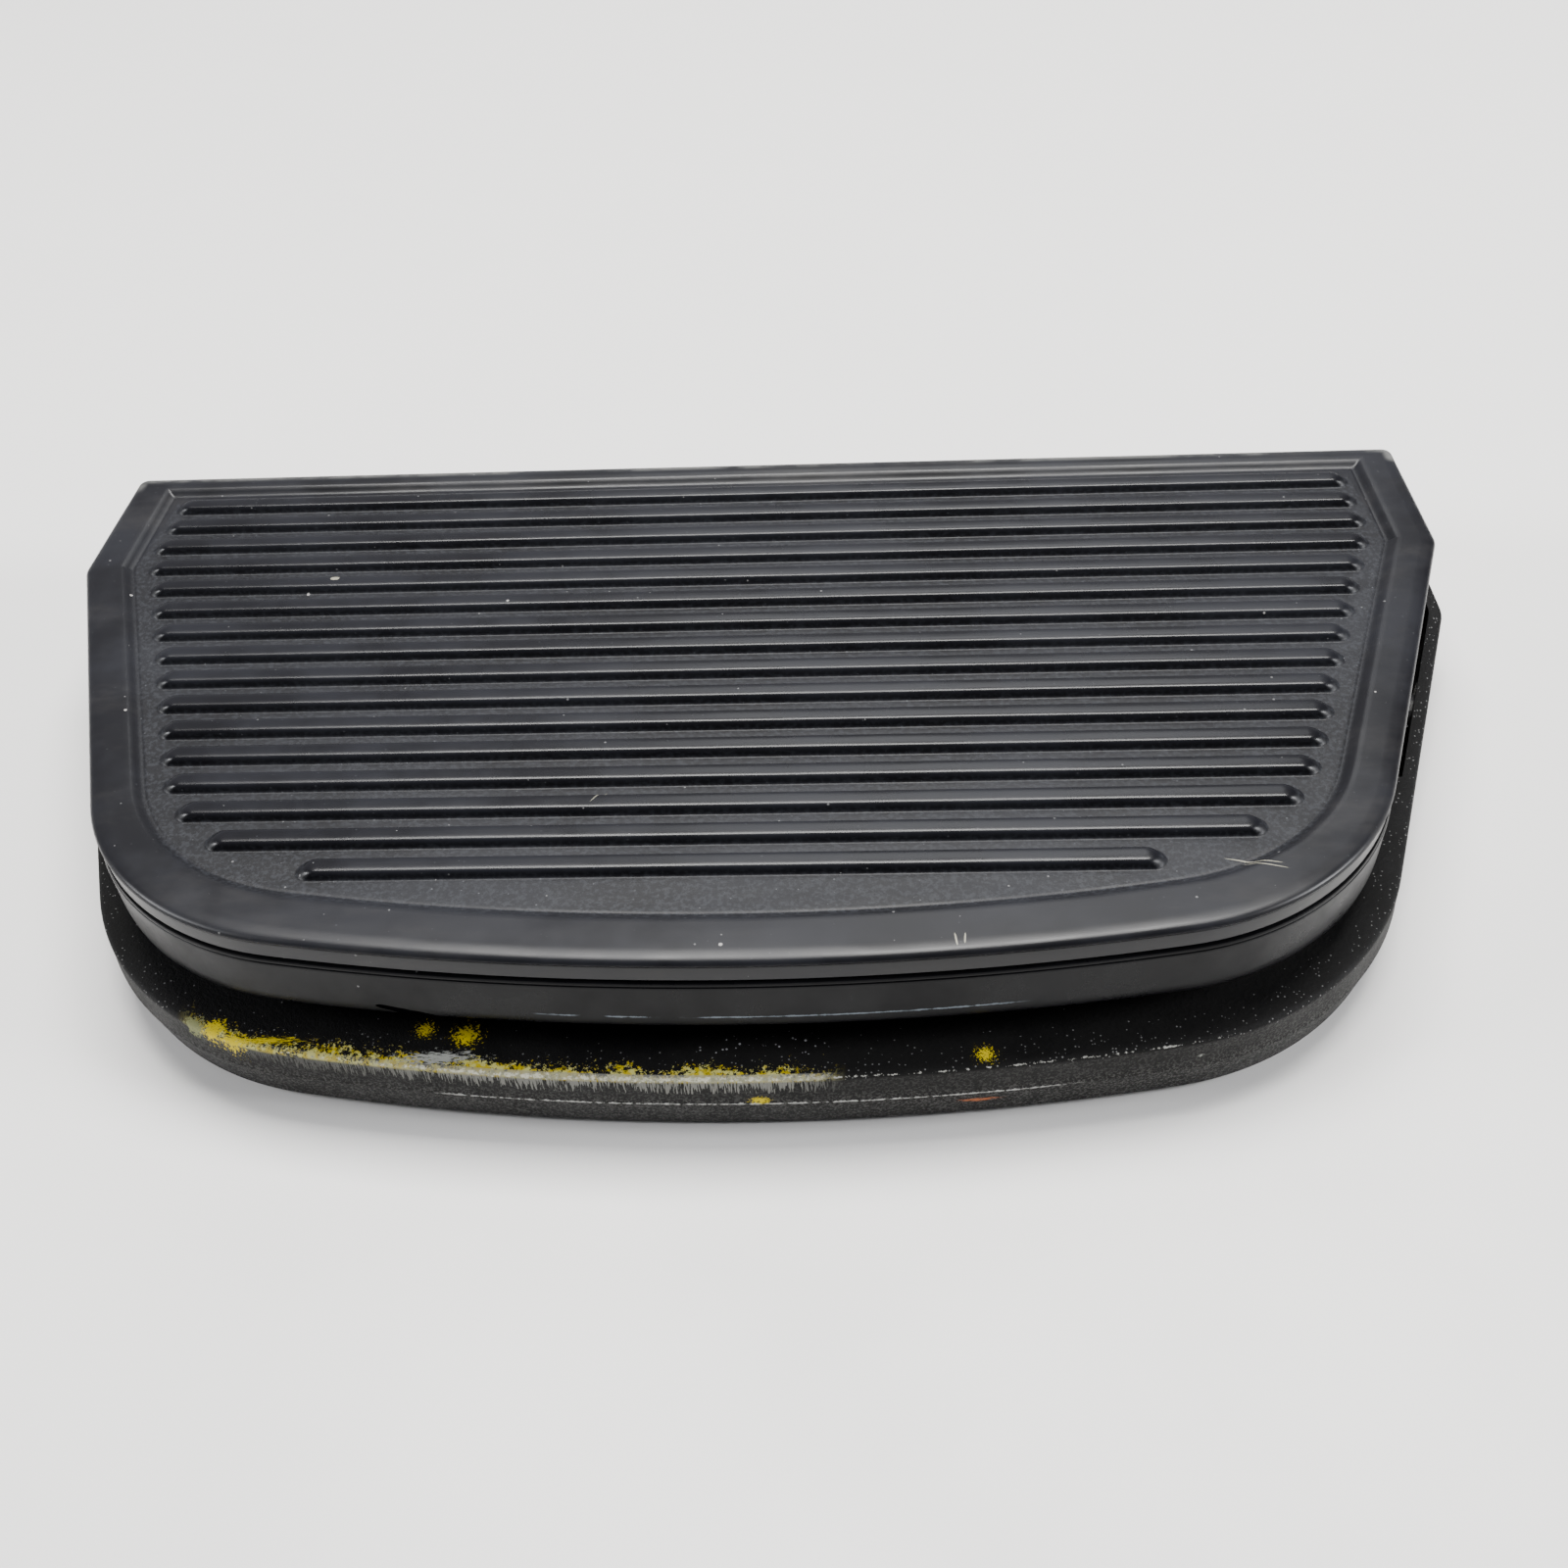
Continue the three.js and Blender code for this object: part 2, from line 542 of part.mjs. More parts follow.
for (const [sideName, side] of SIDES) {
  const name = (word) => `${word}_${sideName}`;

  // Fixed bracket on the tray floor
  addPiece(part, name('hinge_bracket'), angleBracket(
    side, hingeX, PIN_RADIUS + GAP, pivotZ,
    flangeZ, flangeZ + FLANGE_THICKNESS, flangeZ, hingeSpots(side)), FINISHES.zincSteel);
  hingeSpots(side).forEach(([x, y], i) => {
    const headZ = flangeZ + FLANGE_THICKNESS + GAP;
    const body = screw(x, y, headZ, headZ - floorTop + SCREW_BITE, true);
    addPiece(part, `hinge_screw_${sideName}_${i + 1}`, body, FINISHES.zincSteel);
  });

  // Friction washer between the fixed ear and the moving one
  const washerOuter = hingeX - EAR_THICKNESS - GAP;
  const washerInner = washerOuter - WASHER_THICKNESS;
  addPiece(part, name('friction_washer'), cut(
    rodX(WASHER_RADIUS, side * washerInner, side * washerOuter, 0, pivotZ, 28),
    rodX(PIN_RADIUS + GAP, side * (washerInner - 1), side * (washerOuter + 1), 0, pivotZ)),
  FINISHES.nylon);

  // Moving lug under the pan, with its flanged bush
  const lugX = washerInner - GAP;
  const bushRadius = PIN_RADIUS + GAP + BUSH_WALL;
  const lugFlangeTop = panBottom - GAP;
  const lugFlangeLow = lugFlangeTop - FLANGE_THICKNESS;
  addPiece(treadle, name('treadle_lug'), angleBracket(
    side, lugX, bushRadius + GAP, 0,
    lugFlangeLow, lugFlangeTop, lugFlangeTop, lugSpots(side)), FINISHES.zincSteel);
  lugSpots(side).forEach(([x, y], i) => {
    const headZ = lugFlangeLow - GAP;
    const body = screw(x, y, headZ, panBottom - headZ + SCREW_BITE, false);
    addPiece(treadle, `lug_screw_${sideName}_${i + 1}`, body, FINISHES.zincSteel);
  });
  const bushEnd = lugX - EAR_THICKNESS - GAP;
  addPiece(treadle, name('pivot_bush'), cut(
    join(
      rodX(bushRadius, side * (bushEnd - 1.2), side * lugX, 0, 0),
      rodX(bushRadius + BUSH_FLANGE, side * (bushEnd - 1.2), side * bushEnd, 0, 0)),
    rodX(PIN_RADIUS + GAP, side * (bushEnd - 3), side * (lugX + 1), 0, 0)), FINISHES.nylon);

  // Pin from outside, held by a clip in a groove
  const headInner = hingeX + GAP;
  const clipOuter = bushEnd - 1.2 - GAP;
  const clipInner = clipOuter - CLIP_THICKNESS;
  const pinEnd = clipInner - 1.8;
  const grooveRadius = PIN_RADIUS - GROOVE_DEPTH;
  const sleeve = cut(
    rodX(PIN_RADIUS + 2, side * (clipInner - 0.15), side * (clipOuter + 0.15), 0, pivotZ),
    rodX(grooveRadius, side * (clipInner - 1), side * (clipOuter + 1), 0, pivotZ));
  addPiece(part, name('pivot_pin'), cut(
    join(
      rodX(PIN_RADIUS, side * pinEnd, side * (headInner + 0.5), 0, pivotZ),
      rodX(PIN_HEAD_RADIUS, side * headInner, side * (headInner + PIN_HEAD_HEIGHT), 0, pivotZ)),
    sleeve), FINISHES.zincSteel);
  addPiece(part, name('retaining_clip'), cut(
    rodX(CLIP_RADIUS, side * clipInner, side * clipOuter, 0, pivotZ),
    rodX(grooveRadius + GAP, side * (clipInner - 1), side * (clipOuter + 1), 0, pivotZ),
    box(side * (clipInner - 1), side * (clipOuter + 1), -1.9, 1.9,
      pivotZ - CLIP_RADIUS - 1, pivotZ)), FINISHES.zincSteel);
}

// ---- Treadle: pan, edge band and ribbed mat ----------------------------------------------------------

function treadlePan() {
  const outside = ringStack([
    ring(panInset, bandTop - PAN_LIP_DEPTH),
    ring(panInset, bandTop),
  ]);
  const inside = ringStack([
    ring(panInset + PAN_LIP_WALL, bandTop - PAN_LIP_DEPTH - 1),
    ring(panInset + PAN_LIP_WALL, panBottom),
  ]);
  return cut(outside, inside, ...panScrewSpots.map(([x, y]) => panHole(x, y)));
}

function treadBand() {
  const outside = ringStack([
    ring(BAND_LEAN + 0.5, bandBottom),
    ring(BAND_LEAN, bandBottom + 0.8),
    ring(0, bandTop - 0.8),
    ring(0.4, bandTop),
  ]);
  const inside = ringStack([
    ring(BAND_THICKNESS, bandBottom - 1),
    ring(BAND_THICKNESS, bandTop + 1),
  ]);
  return cut(outside, inside);
}

// A stadium ring for one rib: straight sides along X and half-round ends
function stadium(y, halfLength, halfWidth, z) {
  const end = halfLength - halfWidth;
  const points = [
    ...arcPoints(new THREE.Vector2(end, y), halfWidth, -Math.PI / 2, Math.PI / 2, 6),
    ...arcPoints(new THREE.Vector2(-end, y), halfWidth, Math.PI / 2, Math.PI * 3 / 2, 6),
  ];
  return { points, z };
}

// How far a rib may reach at this y before it comes within the margin of the panel's edge
function ribHalfLength(y) {
  const edge = outline(
    PANEL_INSET_SIDE + RIB_END_MARGIN, PANEL_INSET_REAR, PANEL_INSET_FRONT + RIB_END_MARGIN)
    .filter((point) => point.x > 0);
  const front = y - RIB_WIDTH / 2;
  for (let i = 0; i < edge.length - 1; i += 1) {
    const [a, b] = [edge[i], edge[i + 1]];
    if (a.y <= front && b.y >= front) {
      return a.x + (b.x - a.x) * (front - a.y) / (b.y - a.y);
    }
  }
  return 0;
}

function treadMat() {
  const block = ringStack([
    ring(0.5, matBottom),
    ring(0, matBottom + 0.7),
    ring(0, TREAD_ABOVE_PIVOT - 2.4),
    ring(0.6, TREAD_ABOVE_PIVOT - 1.0),
    ring(1.5, TREAD_ABOVE_PIVOT - 0.3),
    ring(3.0, TREAD_ABOVE_PIVOT),
  ]);
  const panel = (extra, z) => ({
    points: outline(PANEL_INSET_SIDE + extra, PANEL_INSET_REAR + extra, PANEL_INSET_FRONT + extra), z });
  const panelZ = TREAD_ABOVE_PIVOT - PANEL_RECESS;
  const recess = ringStack([
    panel(PANEL_SLOPE / 2, panelZ),
    panel(-PANEL_SLOPE / 2, TREAD_ABOVE_PIVOT),
    panel(-PANEL_SLOPE / 2, TREAD_ABOVE_PIVOT + 1),
  ]);
  const ribs = [];
  for (let i = 0; i < RIB_COUNT; i += 1) {
    const y = TREAD_DEPTH / 2 - FIRST_RIB_FROM_REAR - i * RIB_PITCH;
    const halfLength = ribHalfLength(y);
    if (halfLength > RIB_WIDTH) {
      ribs.push(ringStack([
        stadium(y, halfLength, RIB_WIDTH / 2, panelZ - RIB_SINK),
        stadium(y, halfLength, RIB_WIDTH / 2, panelZ + 0.2),
        stadium(y, halfLength - (RIB_WIDTH - RIB_CREST) / 2, RIB_CREST / 2, panelZ + RIB_HEIGHT),
      ]));
    }
  }
  return join(cut(block, recess), ...ribs);
}

addPiece(treadle, 'treadle_pan', treadlePan(), FINISHES.alloy);
addPiece(treadle, 'tread_band', treadBand(), FINISHES.bandRubber);
addPiece(treadle, 'tread_mat', treadMat(), FINISHES.treadRubber);

// ---- Sector gear and pinion ------------------------------------------------------------------------------

const involute = (angle) => Math.tan(angle) - angle;

// One tooth as points from its leading root to its trailing root, centred on an angle
function toothPoints(teeth, addendum, dedendum, centreAngle) {
  const pitchRadius = GEAR_MODULE * teeth / 2;
  const baseRadius = pitchRadius * Math.cos(PRESSURE_ANGLE);
  const rootRadius = pitchRadius - dedendum;
  const tipRadius = pitchRadius + addendum;
  const pitchHalf = Math.PI / (2 * teeth) - BACKLASH / (4 * pitchRadius);
  const halfAt = (radius) => {
    const pressure = Math.acos(Math.min(1, baseRadius / Math.max(radius, baseRadius)));
    return pitchHalf + involute(PRESSURE_ANGLE) - involute(pressure);
  };
  const flank = [rootRadius];
  const start = Math.max(baseRadius, rootRadius + 0.05);
  for (let i = 0; i <= 3; i += 1) {
    flank.push(start + (tipRadius - start) * i / 3);
  }
  const at = (radius, angle) => new THREE.Vector2(
    radius * Math.cos(angle), radius * Math.sin(angle));
  const rising = flank.map((radius) => at(radius, centreAngle - halfAt(radius)));
  const falling = flank.map((radius) => at(radius, centreAngle + halfAt(radius))).reverse();
  return [...rising, ...falling];
}

function pinionGear() {
  const points = [];
  const step = 2 * Math.PI / PINION_TEETH;
  for (let i = 0; i < PINION_TEETH; i += 1) {
    const angle = Math.PI - PINION_DROP_ANGLE + (i + 0.5) * step;
    points.push(...toothPoints(PINION_TEETH, PINION_ADDENDUM, PINION_DEDENDUM, angle));
  }
  return cut(
    plateX(new THREE.Shape(points), -0.5, SECTOR_THICKNESS + 0.5),
    rodX(POT_SHAFT_RADIUS + 0.2, -2, SECTOR_THICKNESS + 2, 0, 0, 20));
}

function sectorGear() {
  const step = 2 * Math.PI / SECTOR_TEETH_IN_FULL_CIRCLE;
  const rootRadius = sectorPitchRadius - SECTOR_DEDENDUM;
  const points = [];
  for (let i = SECTOR_LOWEST_TOOTH; i <= SECTOR_HIGHEST_TOOTH; i += 1) {
    points.push(...toothPoints(
      SECTOR_TEETH_IN_FULL_CIRCLE, SECTOR_ADDENDUM, SECTOR_DEDENDUM, -PINION_DROP_ANGLE + i * step));
  }
  const footTop = panBottom - GAP;
  const footLow = footTop - SECTOR_FOOT_THICKNESS;
  const innerRadius = rootRadius - SECTOR_ARM_DEPTH;
  const lowAngle = -PINION_DROP_ANGLE + (SECTOR_LOWEST_TOOTH - 0.4) * step;
  const footFront = sectorFootY - SECTOR_FOOT_WIDTH / 2;
  const footRear = sectorFootY + SECTOR_FOOT_WIDTH / 2;
  points.push(
    new THREE.Vector2(footRear, footLow + 0.5),
    new THREE.Vector2(footFront, footLow + 0.5),
    new THREE.Vector2(innerRadius * Math.cos(lowAngle), innerRadius * Math.sin(lowAngle)));
  const foot = box(sectorFootX, SECTOR_X + SECTOR_THICKNESS, footFront, footRear, footLow, footTop);
  return cut(
    join(plateX(new THREE.Shape(points), SECTOR_X, SECTOR_X + SECTOR_THICKNESS), foot),
    ...sectorScrewSpots.map(([x, y]) => screwHole(x, y, footLow - 1, footTop + 1)));
}

addPiece(treadle, 'sector_gear', sectorGear(), FINISHES.nylon);
sectorScrewSpots.forEach(([x, y], i) => {
  const headZ = panBottom - 2 * GAP - SECTOR_FOOT_THICKNESS;
  const body = screw(x, y, headZ, panBottom - headZ + SCREW_BITE, false);
  addPiece(treadle, `sector_screw_${i + 1}`, body, FINISHES.zincSteel);
});

addPiece(shaftGroup, 'pinion_gear', pinionGear(), FINISHES.nylon);
const shaftEnd = potBodyX + POT_BODY_LENGTH - 2 - SECTOR_X;
addPiece(shaftGroup, 'pot_shaft',
  rodX(POT_SHAFT_RADIUS, -1.2, shaftEnd, 0, 0, 20), FINISHES.brass);

// ---- Potentiometer on its bracket ----------------------------------------------------------------------------

function potBody() {
  const half = POT_BODY_SIDE / 2;
  const back = potBodyX + POT_BODY_LENGTH;
  const nutFace = potBracketX - 2 * GAP - POT_WASHER_THICKNESS - POT_NUT_THICKNESS;
  const lugs = [-3, 0, 3].map((offset) =>
    box(back - 0.5, back + 3, potY + offset - 0.6, potY + offset + 0.6, potZ - 3.4, potZ - 2.8));
  return cut(
    join(
      box(potBodyX, back, potY - half, potY + half, potZ - half, potZ + half),
      rodX(POT_BUSHING_RADIUS, nutFace - 0.6, potBodyX + 0.5, potY, potZ),
      ...lugs),
    rodX(POT_SHAFT_RADIUS + 0.2, nutFace - 2, back - 1.7, potY, potZ, 20));
}

function potBracket() {
  const low = floorTop + GAP;
  const top = potZ + POT_BUSHING_RADIUS + GAP + 1;
  const [ya, yb] = [potY - POT_BRACKET_HALF_WIDTH, potY + POT_BRACKET_HALF_WIDTH];
  const web = box(potBracketX, potBracketX + POT_BRACKET_GAUGE, ya, yb, low, top);
  const flange = box(potBracketX, potBracketX + POT_FLANGE_LENGTH, ya, yb, low, low + POT_BRACKET_GAUGE);
  return cut(
    join(web, flange),
    rodX(POT_BUSHING_RADIUS + GAP, potBracketX - 1, potBracketX + POT_BRACKET_GAUGE + 1, potY, potZ),
    ...potScrewSpots.map(([x, y]) => screwHole(x, y, low - 1, low + POT_BRACKET_GAUGE + 1)));
}

addPiece(part, 'pot_body', potBody(), FINISHES.blackPlastic);
addPiece(part, 'pot_bracket', potBracket(), FINISHES.zincSteel);
potScrewSpots.forEach(([x, y], i) => {
  const headZ = floorTop + 2 * GAP + POT_BRACKET_GAUGE;
  const body = screw(x, y, headZ, headZ - floorTop + SCREW_BITE, true);
  addPiece(part, `pot_bracket_screw_${i + 1}`, body, FINISHES.zincSteel);
});

const washerFar = potBracketX - GAP;
addPiece(part, 'pot_washer', cut(
  rodX(POT_NUT_RADIUS, washerFar - POT_WASHER_THICKNESS, washerFar, potY, potZ),
  rodX(POT_BUSHING_RADIUS + GAP, 0, potBracketX + 2, potY, potZ)), FINISHES.zincSteel);
const nutFar = washerFar - POT_WASHER_THICKNESS - 0.1;
addPiece(part, 'pot_nut', cut(
  rodX(POT_NUT_RADIUS, nutFar - POT_NUT_THICKNESS, nutFar, potY, potZ, 6),
  rodX(POT_BUSHING_RADIUS + GAP, 0, potBracketX + 2, potY, potZ)), FINISHES.brass);

// ---- Jack sockets -------------------------------------------------------------------------------------------------

for (const [name, side] of [['input_jack', 1], ['output_jack', -1]]) {
  const [ya, yb] = [JACK_Y - JACK_BODY_WIDTH / 2, JACK_Y + JACK_BODY_WIDTH / 2];
  const low = floorTop + GAP;
  const bodyInner = jackBodyEnd - JACK_BODY_LENGTH;
  const [tabX, tabY] = jackScrewSpot(1);
  const housing = join(
    box(side * bodyInner, side * jackBodyEnd, ya, yb, low, low + JACK_BODY_HEIGHT),
    rodX(JACK_COLLAR_RADIUS, side * (jackBodyEnd - 1), side * jackMouth, JACK_Y, jackZ),
    box(side * (tabX - JACK_TAB_LENGTH / 2), side * (tabX + JACK_TAB_LENGTH / 2),
      yb - 1, yb + JACK_TAB_WIDTH, low, low + JACK_TAB_THICKNESS));
  addPiece(part, name, cut(
    housing,
    rodX(JACK_BORE_RADIUS, side * (jackMouth - JACK_BORE_DEPTH), side * (jackMouth + 1), JACK_Y, jackZ),
    screwHole(side * tabX, tabY, low - 1, low + JACK_TAB_THICKNESS + 1)), FINISHES.blackPlastic);
  const headZ = low + JACK_TAB_THICKNESS + GAP;
  const body = screw(side * tabX, tabY, headZ, headZ - floorTop + SCREW_BITE, true);
  addPiece(part, `${name}_screw`, body, FINISHES.zincSteel);
}

// ---- Leads from each jack to the potentiometer, lying on the tray floor ---------------------------------------------

function lead(points) {
  const section = new THREE.Shape(arcPoints(new THREE.Vector2(), LEAD_RADIUS, 0, Math.PI * 1.75, 7));
  const path = new THREE.CatmullRomCurve3(points, false, 'centripetal');
  const geometry = new THREE.ExtrudeGeometry(section, { steps: LEAD_STEPS, extrudePath: path });
  return solid(geometry);
}

const leadZ = floorTop + GAP + LEAD_RADIUS;
const lugZ = potZ - 3.1;
const leadStart = jackBodyEnd - JACK_BODY_LENGTH - GAP;
const leadEnd = potBodyX + POT_BODY_LENGTH + 3 + GAP;
const flangeEnd = potBracketX + POT_FLANGE_LENGTH;
const onFloor = ([x, y]) => new THREE.Vector3(x, y, leadZ);
const riseToLug = (y) => [
  new THREE.Vector3(flangeEnd + 5, y, leadZ + 1.5),
  new THREE.Vector3(flangeEnd + 1.5, y, lugZ - 1),
  new THREE.Vector3(leadEnd, y, lugZ),
];
const inputRoute = [
  ...[[leadStart, JACK_Y + 2], [hingeX - 8, JACK_Y + 4], [hingeX - 34, JACK_Y + 4],
    [flangeEnd + 18, potY - 4], [flangeEnd + 10, potY + 3]].map(onFloor),
  ...riseToLug(potY + 3),
];
const outputRoute = [
  ...[[-leadStart, JACK_Y + 2], [-hingeX + 8, JACK_Y + 4], [-hingeX + 34, JACK_Y], [-24, -9],
    [12, -11], [flangeEnd + 8, -2], [flangeEnd + 12, potY - 14], [flangeEnd + 9, potY - 4]].map(onFloor),
  ...riseToLug(potY - 3),
];
addPiece(part, 'input_lead', lead(inputRoute), FINISHES.leadJacket);
addPiece(part, 'output_lead', lead(outputRoute), FINISHES.leadJacket);

export default part;
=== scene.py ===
# %% [markdown]
# A volume pedal gets its surfaces here. The working model already gives every piece its
# size, its place and its joint. What is missing is soft moulded rubber with rounded ribs, a
# cast tray with a worn front edge, dust, scuffs and scratches. Three pieces are modelled
# again with more detail, and the others keep their shape and get a finish.

# %% Load the working model
import json
import math

import bmesh
import bpy
import numpy as np
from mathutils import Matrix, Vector


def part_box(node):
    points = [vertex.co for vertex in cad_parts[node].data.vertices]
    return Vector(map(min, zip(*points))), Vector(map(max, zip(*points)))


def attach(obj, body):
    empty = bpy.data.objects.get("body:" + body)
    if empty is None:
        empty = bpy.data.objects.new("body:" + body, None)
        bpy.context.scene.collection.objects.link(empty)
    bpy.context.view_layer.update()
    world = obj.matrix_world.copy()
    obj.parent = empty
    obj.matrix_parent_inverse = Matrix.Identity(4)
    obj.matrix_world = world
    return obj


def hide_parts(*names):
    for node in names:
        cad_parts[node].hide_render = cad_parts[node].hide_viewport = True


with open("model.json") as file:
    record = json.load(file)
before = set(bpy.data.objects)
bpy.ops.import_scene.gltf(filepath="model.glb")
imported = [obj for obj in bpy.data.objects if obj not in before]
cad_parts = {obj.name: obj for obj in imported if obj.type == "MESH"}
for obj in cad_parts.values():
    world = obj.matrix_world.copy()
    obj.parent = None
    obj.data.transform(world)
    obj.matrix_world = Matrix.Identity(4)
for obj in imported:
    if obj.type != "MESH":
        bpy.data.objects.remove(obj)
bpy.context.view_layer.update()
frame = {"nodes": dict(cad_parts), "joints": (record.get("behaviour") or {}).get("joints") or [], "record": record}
MM = 0.001

# %% [markdown]
# The camera looks down at the front edge from a little right of the middle. It comes first,
# so that every later cell can be judged through it.

# %% Camera
camera_data = bpy.data.cameras.new("studio_camera")
camera_data.lens = 41.5
camera_data.sensor_width = 36
camera = bpy.data.objects.new("studio_camera", camera_data)
bpy.context.scene.collection.objects.link(camera)
camera.location = Vector((22.81, -230.22, 234.73)) * MM
camera.rotation_euler = [math.radians(angle) for angle in (45.15, 2.714, 1.388)]
bpy.context.scene.camera = camera
print("the camera stands", round(camera.location.length, 3), "m from the pedal")

# %% [markdown]
# Black rubber shows its shape by what it mirrors, and the tops of the ribs mirror what is
# above and behind them. So the main lamp is wide, hangs overhead and stands a little behind
# the pedal. A weak lamp further back lights the rear edge, and one lamp on each side draws
# the rib tips. A single small lamp would give hard sparks in place of long soft lines.


# %% Lamps
def soft_lamp(name, place, aim, size, watts, colour):
    data = bpy.data.lights.new(name, "AREA")
    data.shape = "RECTANGLE"
    data.size, data.size_y = size
    data.energy = watts
    data.color = colour
    lamp = bpy.data.objects.new(name, data)
    bpy.context.scene.collection.objects.link(lamp)
    lamp.location = place
    lamp.rotation_euler = (Vector(aim) - Vector(place)).to_track_quat("-Z", "Y").to_euler()
    return lamp


soft_lamp("top_lamp", (0.05, 0.38, 1.25), (0, 0, 0), (1.0, 0.34), 42.0, (1.0, 0.99, 0.97))
soft_lamp("back_lamp", (0.10, 1.0, 0.95), (0.02, 0, 0), (0.6, 0.4), 3.2, (0.96, 0.98, 1.0))
soft_lamp("left_lamp", (-1.0, -0.15, 0.55), (0, 0, 0), (0.35, 0.35), 10.0, (0.97, 0.98, 1.0))
soft_lamp("right_lamp", (1.0, -0.15, 0.55), (0, 0, 0), (0.35, 0.35), 14.0, (0.97, 0.98, 1.0))
print("four soft lamps stand around the pedal")

# %% [markdown]
# The room is pale behind the pedal, and dim in front of it and to its right. The world is a
# gradient on Y, less whatever part of the direction points to +X. The dim part is what turns
# the near side of every rib black.

# %% World
WORLD_FRONT = (0.10, 0.10, 0.11, 1)
WORLD_BACK = (0.48, 0.48, 0.52, 1)


def place(tree, kind, inputs=None, **settings):
    """Adds a node, sets what is named, and links each input that is given a socket."""
    node = tree.nodes.new(kind)
    for key, value in settings.items():
        setattr(node, key, value)
    for socket, value in (inputs or {}).items():
        if isinstance(value, bpy.types.NodeSocket):
            tree.links.new(value, node.inputs[socket])
        else:
            node.inputs[socket].default_value = value
    return node


world = bpy.data.worlds.new("studio_world")
bpy.context.scene.world = world
world.use_nodes = True
sky = world.node_tree
direction = place(sky, "ShaderNodeTexCoord")
axes = place(sky, "ShaderNodeSeparateXYZ", {"Vector": direction.outputs["Generated"]})
to_right = place(sky, "ShaderNodeMath", {0: axes.outputs["X"], 1: 0.0}, operation="MAXIMUM")
facing = place(sky, "ShaderNodeMath", {0: axes.outputs["Y"], 1: to_right.outputs[0]}, operation="SUBTRACT")
behind = place(sky, "ShaderNodeMapRange", {
    "Value": facing.outputs[0], "From Min": 0.05, "From Max": 0.65}, interpolation_type="SMOOTHSTEP")
gradient = place(sky, "ShaderNodeMix", {
    0: behind.outputs["Result"], 6: WORLD_FRONT, 7: WORLD_BACK}, data_type="RGBA")
sky.links.new(gradient.outputs[2], sky.nodes["Background"].inputs["Color"])
print("the world runs from", WORLD_FRONT[0], "to", WORLD_BACK[0])

# %% [markdown]
# Before any shape, a few habits worth keeping. Nothing stays selected by accident, every
# shape is made by one function that lofts an outline through a list of steps, and every
# modifier is applied at once, so that what is seen is what is there.


# %% Selecting and finishing
def only(obj):
    bpy.ops.object.select_all(action="DESELECT")
    obj.select_set(True)
    bpy.context.view_layer.objects.active = obj
    return obj


def apply_modifier(obj, kind, **settings):
    only(obj)
    modifier = obj.modifiers.new(kind.lower(), kind)
    for key, value in settings.items():
        setattr(modifier, key, value)
    bpy.ops.object.modifier_apply(modifier=modifier.name)
    return obj


def cut(obj, *tools, operation="DIFFERENCE"):
    for tool in tools:
        apply_modifier(obj, "BOOLEAN", object=tool, operation=operation, solver="EXACT")
        bpy.data.objects.remove(tool, do_unlink=True)
    return obj


def face_outwards(obj):
    only(obj)
    bpy.ops.object.mode_set(mode="EDIT")
    bpy.ops.mesh.select_all(action="SELECT")
    bpy.ops.mesh.remove_doubles(threshold=0.005 * MM)
    bpy.ops.mesh.normals_make_consistent(inside=False)
    bpy.ops.object.mode_set(mode="OBJECT")
    return obj


def smooth(obj, angle=38):
    only(obj)
    bpy.ops.object.shade_smooth_by_angle(angle=math.radians(angle))
    apply_modifier(obj, "WEIGHTED_NORMAL", keep_sharp=True, weight=60)
    return obj


def faces_of(obj):
    return sum(len(polygon.vertices) - 2 for polygon in obj.data.polygons)


# %% [markdown]
# Mat, band and tray share one outline: a straight rear edge, two short rear sides, two
# tapered sides, round front corners and a bowed front. Moving it inwards by an inset gives
# every other line on the pedal, so the outline is worked out once, in millimetres, with a
# fixed number of points. Rings with equal counts can be lofted without a twist.

# %% Outline
WIDTH, DEPTH = 250.0, 133.0
REAR_SIDE, REAR_DRAW = 31.6, 1.4
TAPER = math.radians(18.2)
CORNER_RADIUS, BOW_RADIUS = 45.0, 403.0
BEND_RADIUS, REAR_RADIUS = 6.1, 2.0
BOW_STEPS, CORNER_STEPS, BEND_STEPS, REAR_STEPS = 30, 26, 5, 8


def unit(angle):
    return np.array([math.cos(angle), math.sin(angle)])


def along(angle):
    return np.array([-math.sin(angle), math.cos(angle)])


def crossing(a, way_a, b, way_b):
    reach = np.linalg.solve(np.column_stack([way_a, -way_b]), b - a)[0]
    return a + reach * way_a


def arc(centre, radius, start, end, steps):
    return [centre + radius * unit(start + (end - start) * i / steps) for i in range(steps + 1)]


def rounded(corner, normal_a, normal_b, radius, steps):
    half, middle = (normal_b - normal_a) / 2, (normal_a + normal_b) / 2
    return arc(corner - radius / math.cos(half) * unit(middle), radius, normal_a, normal_b, steps)


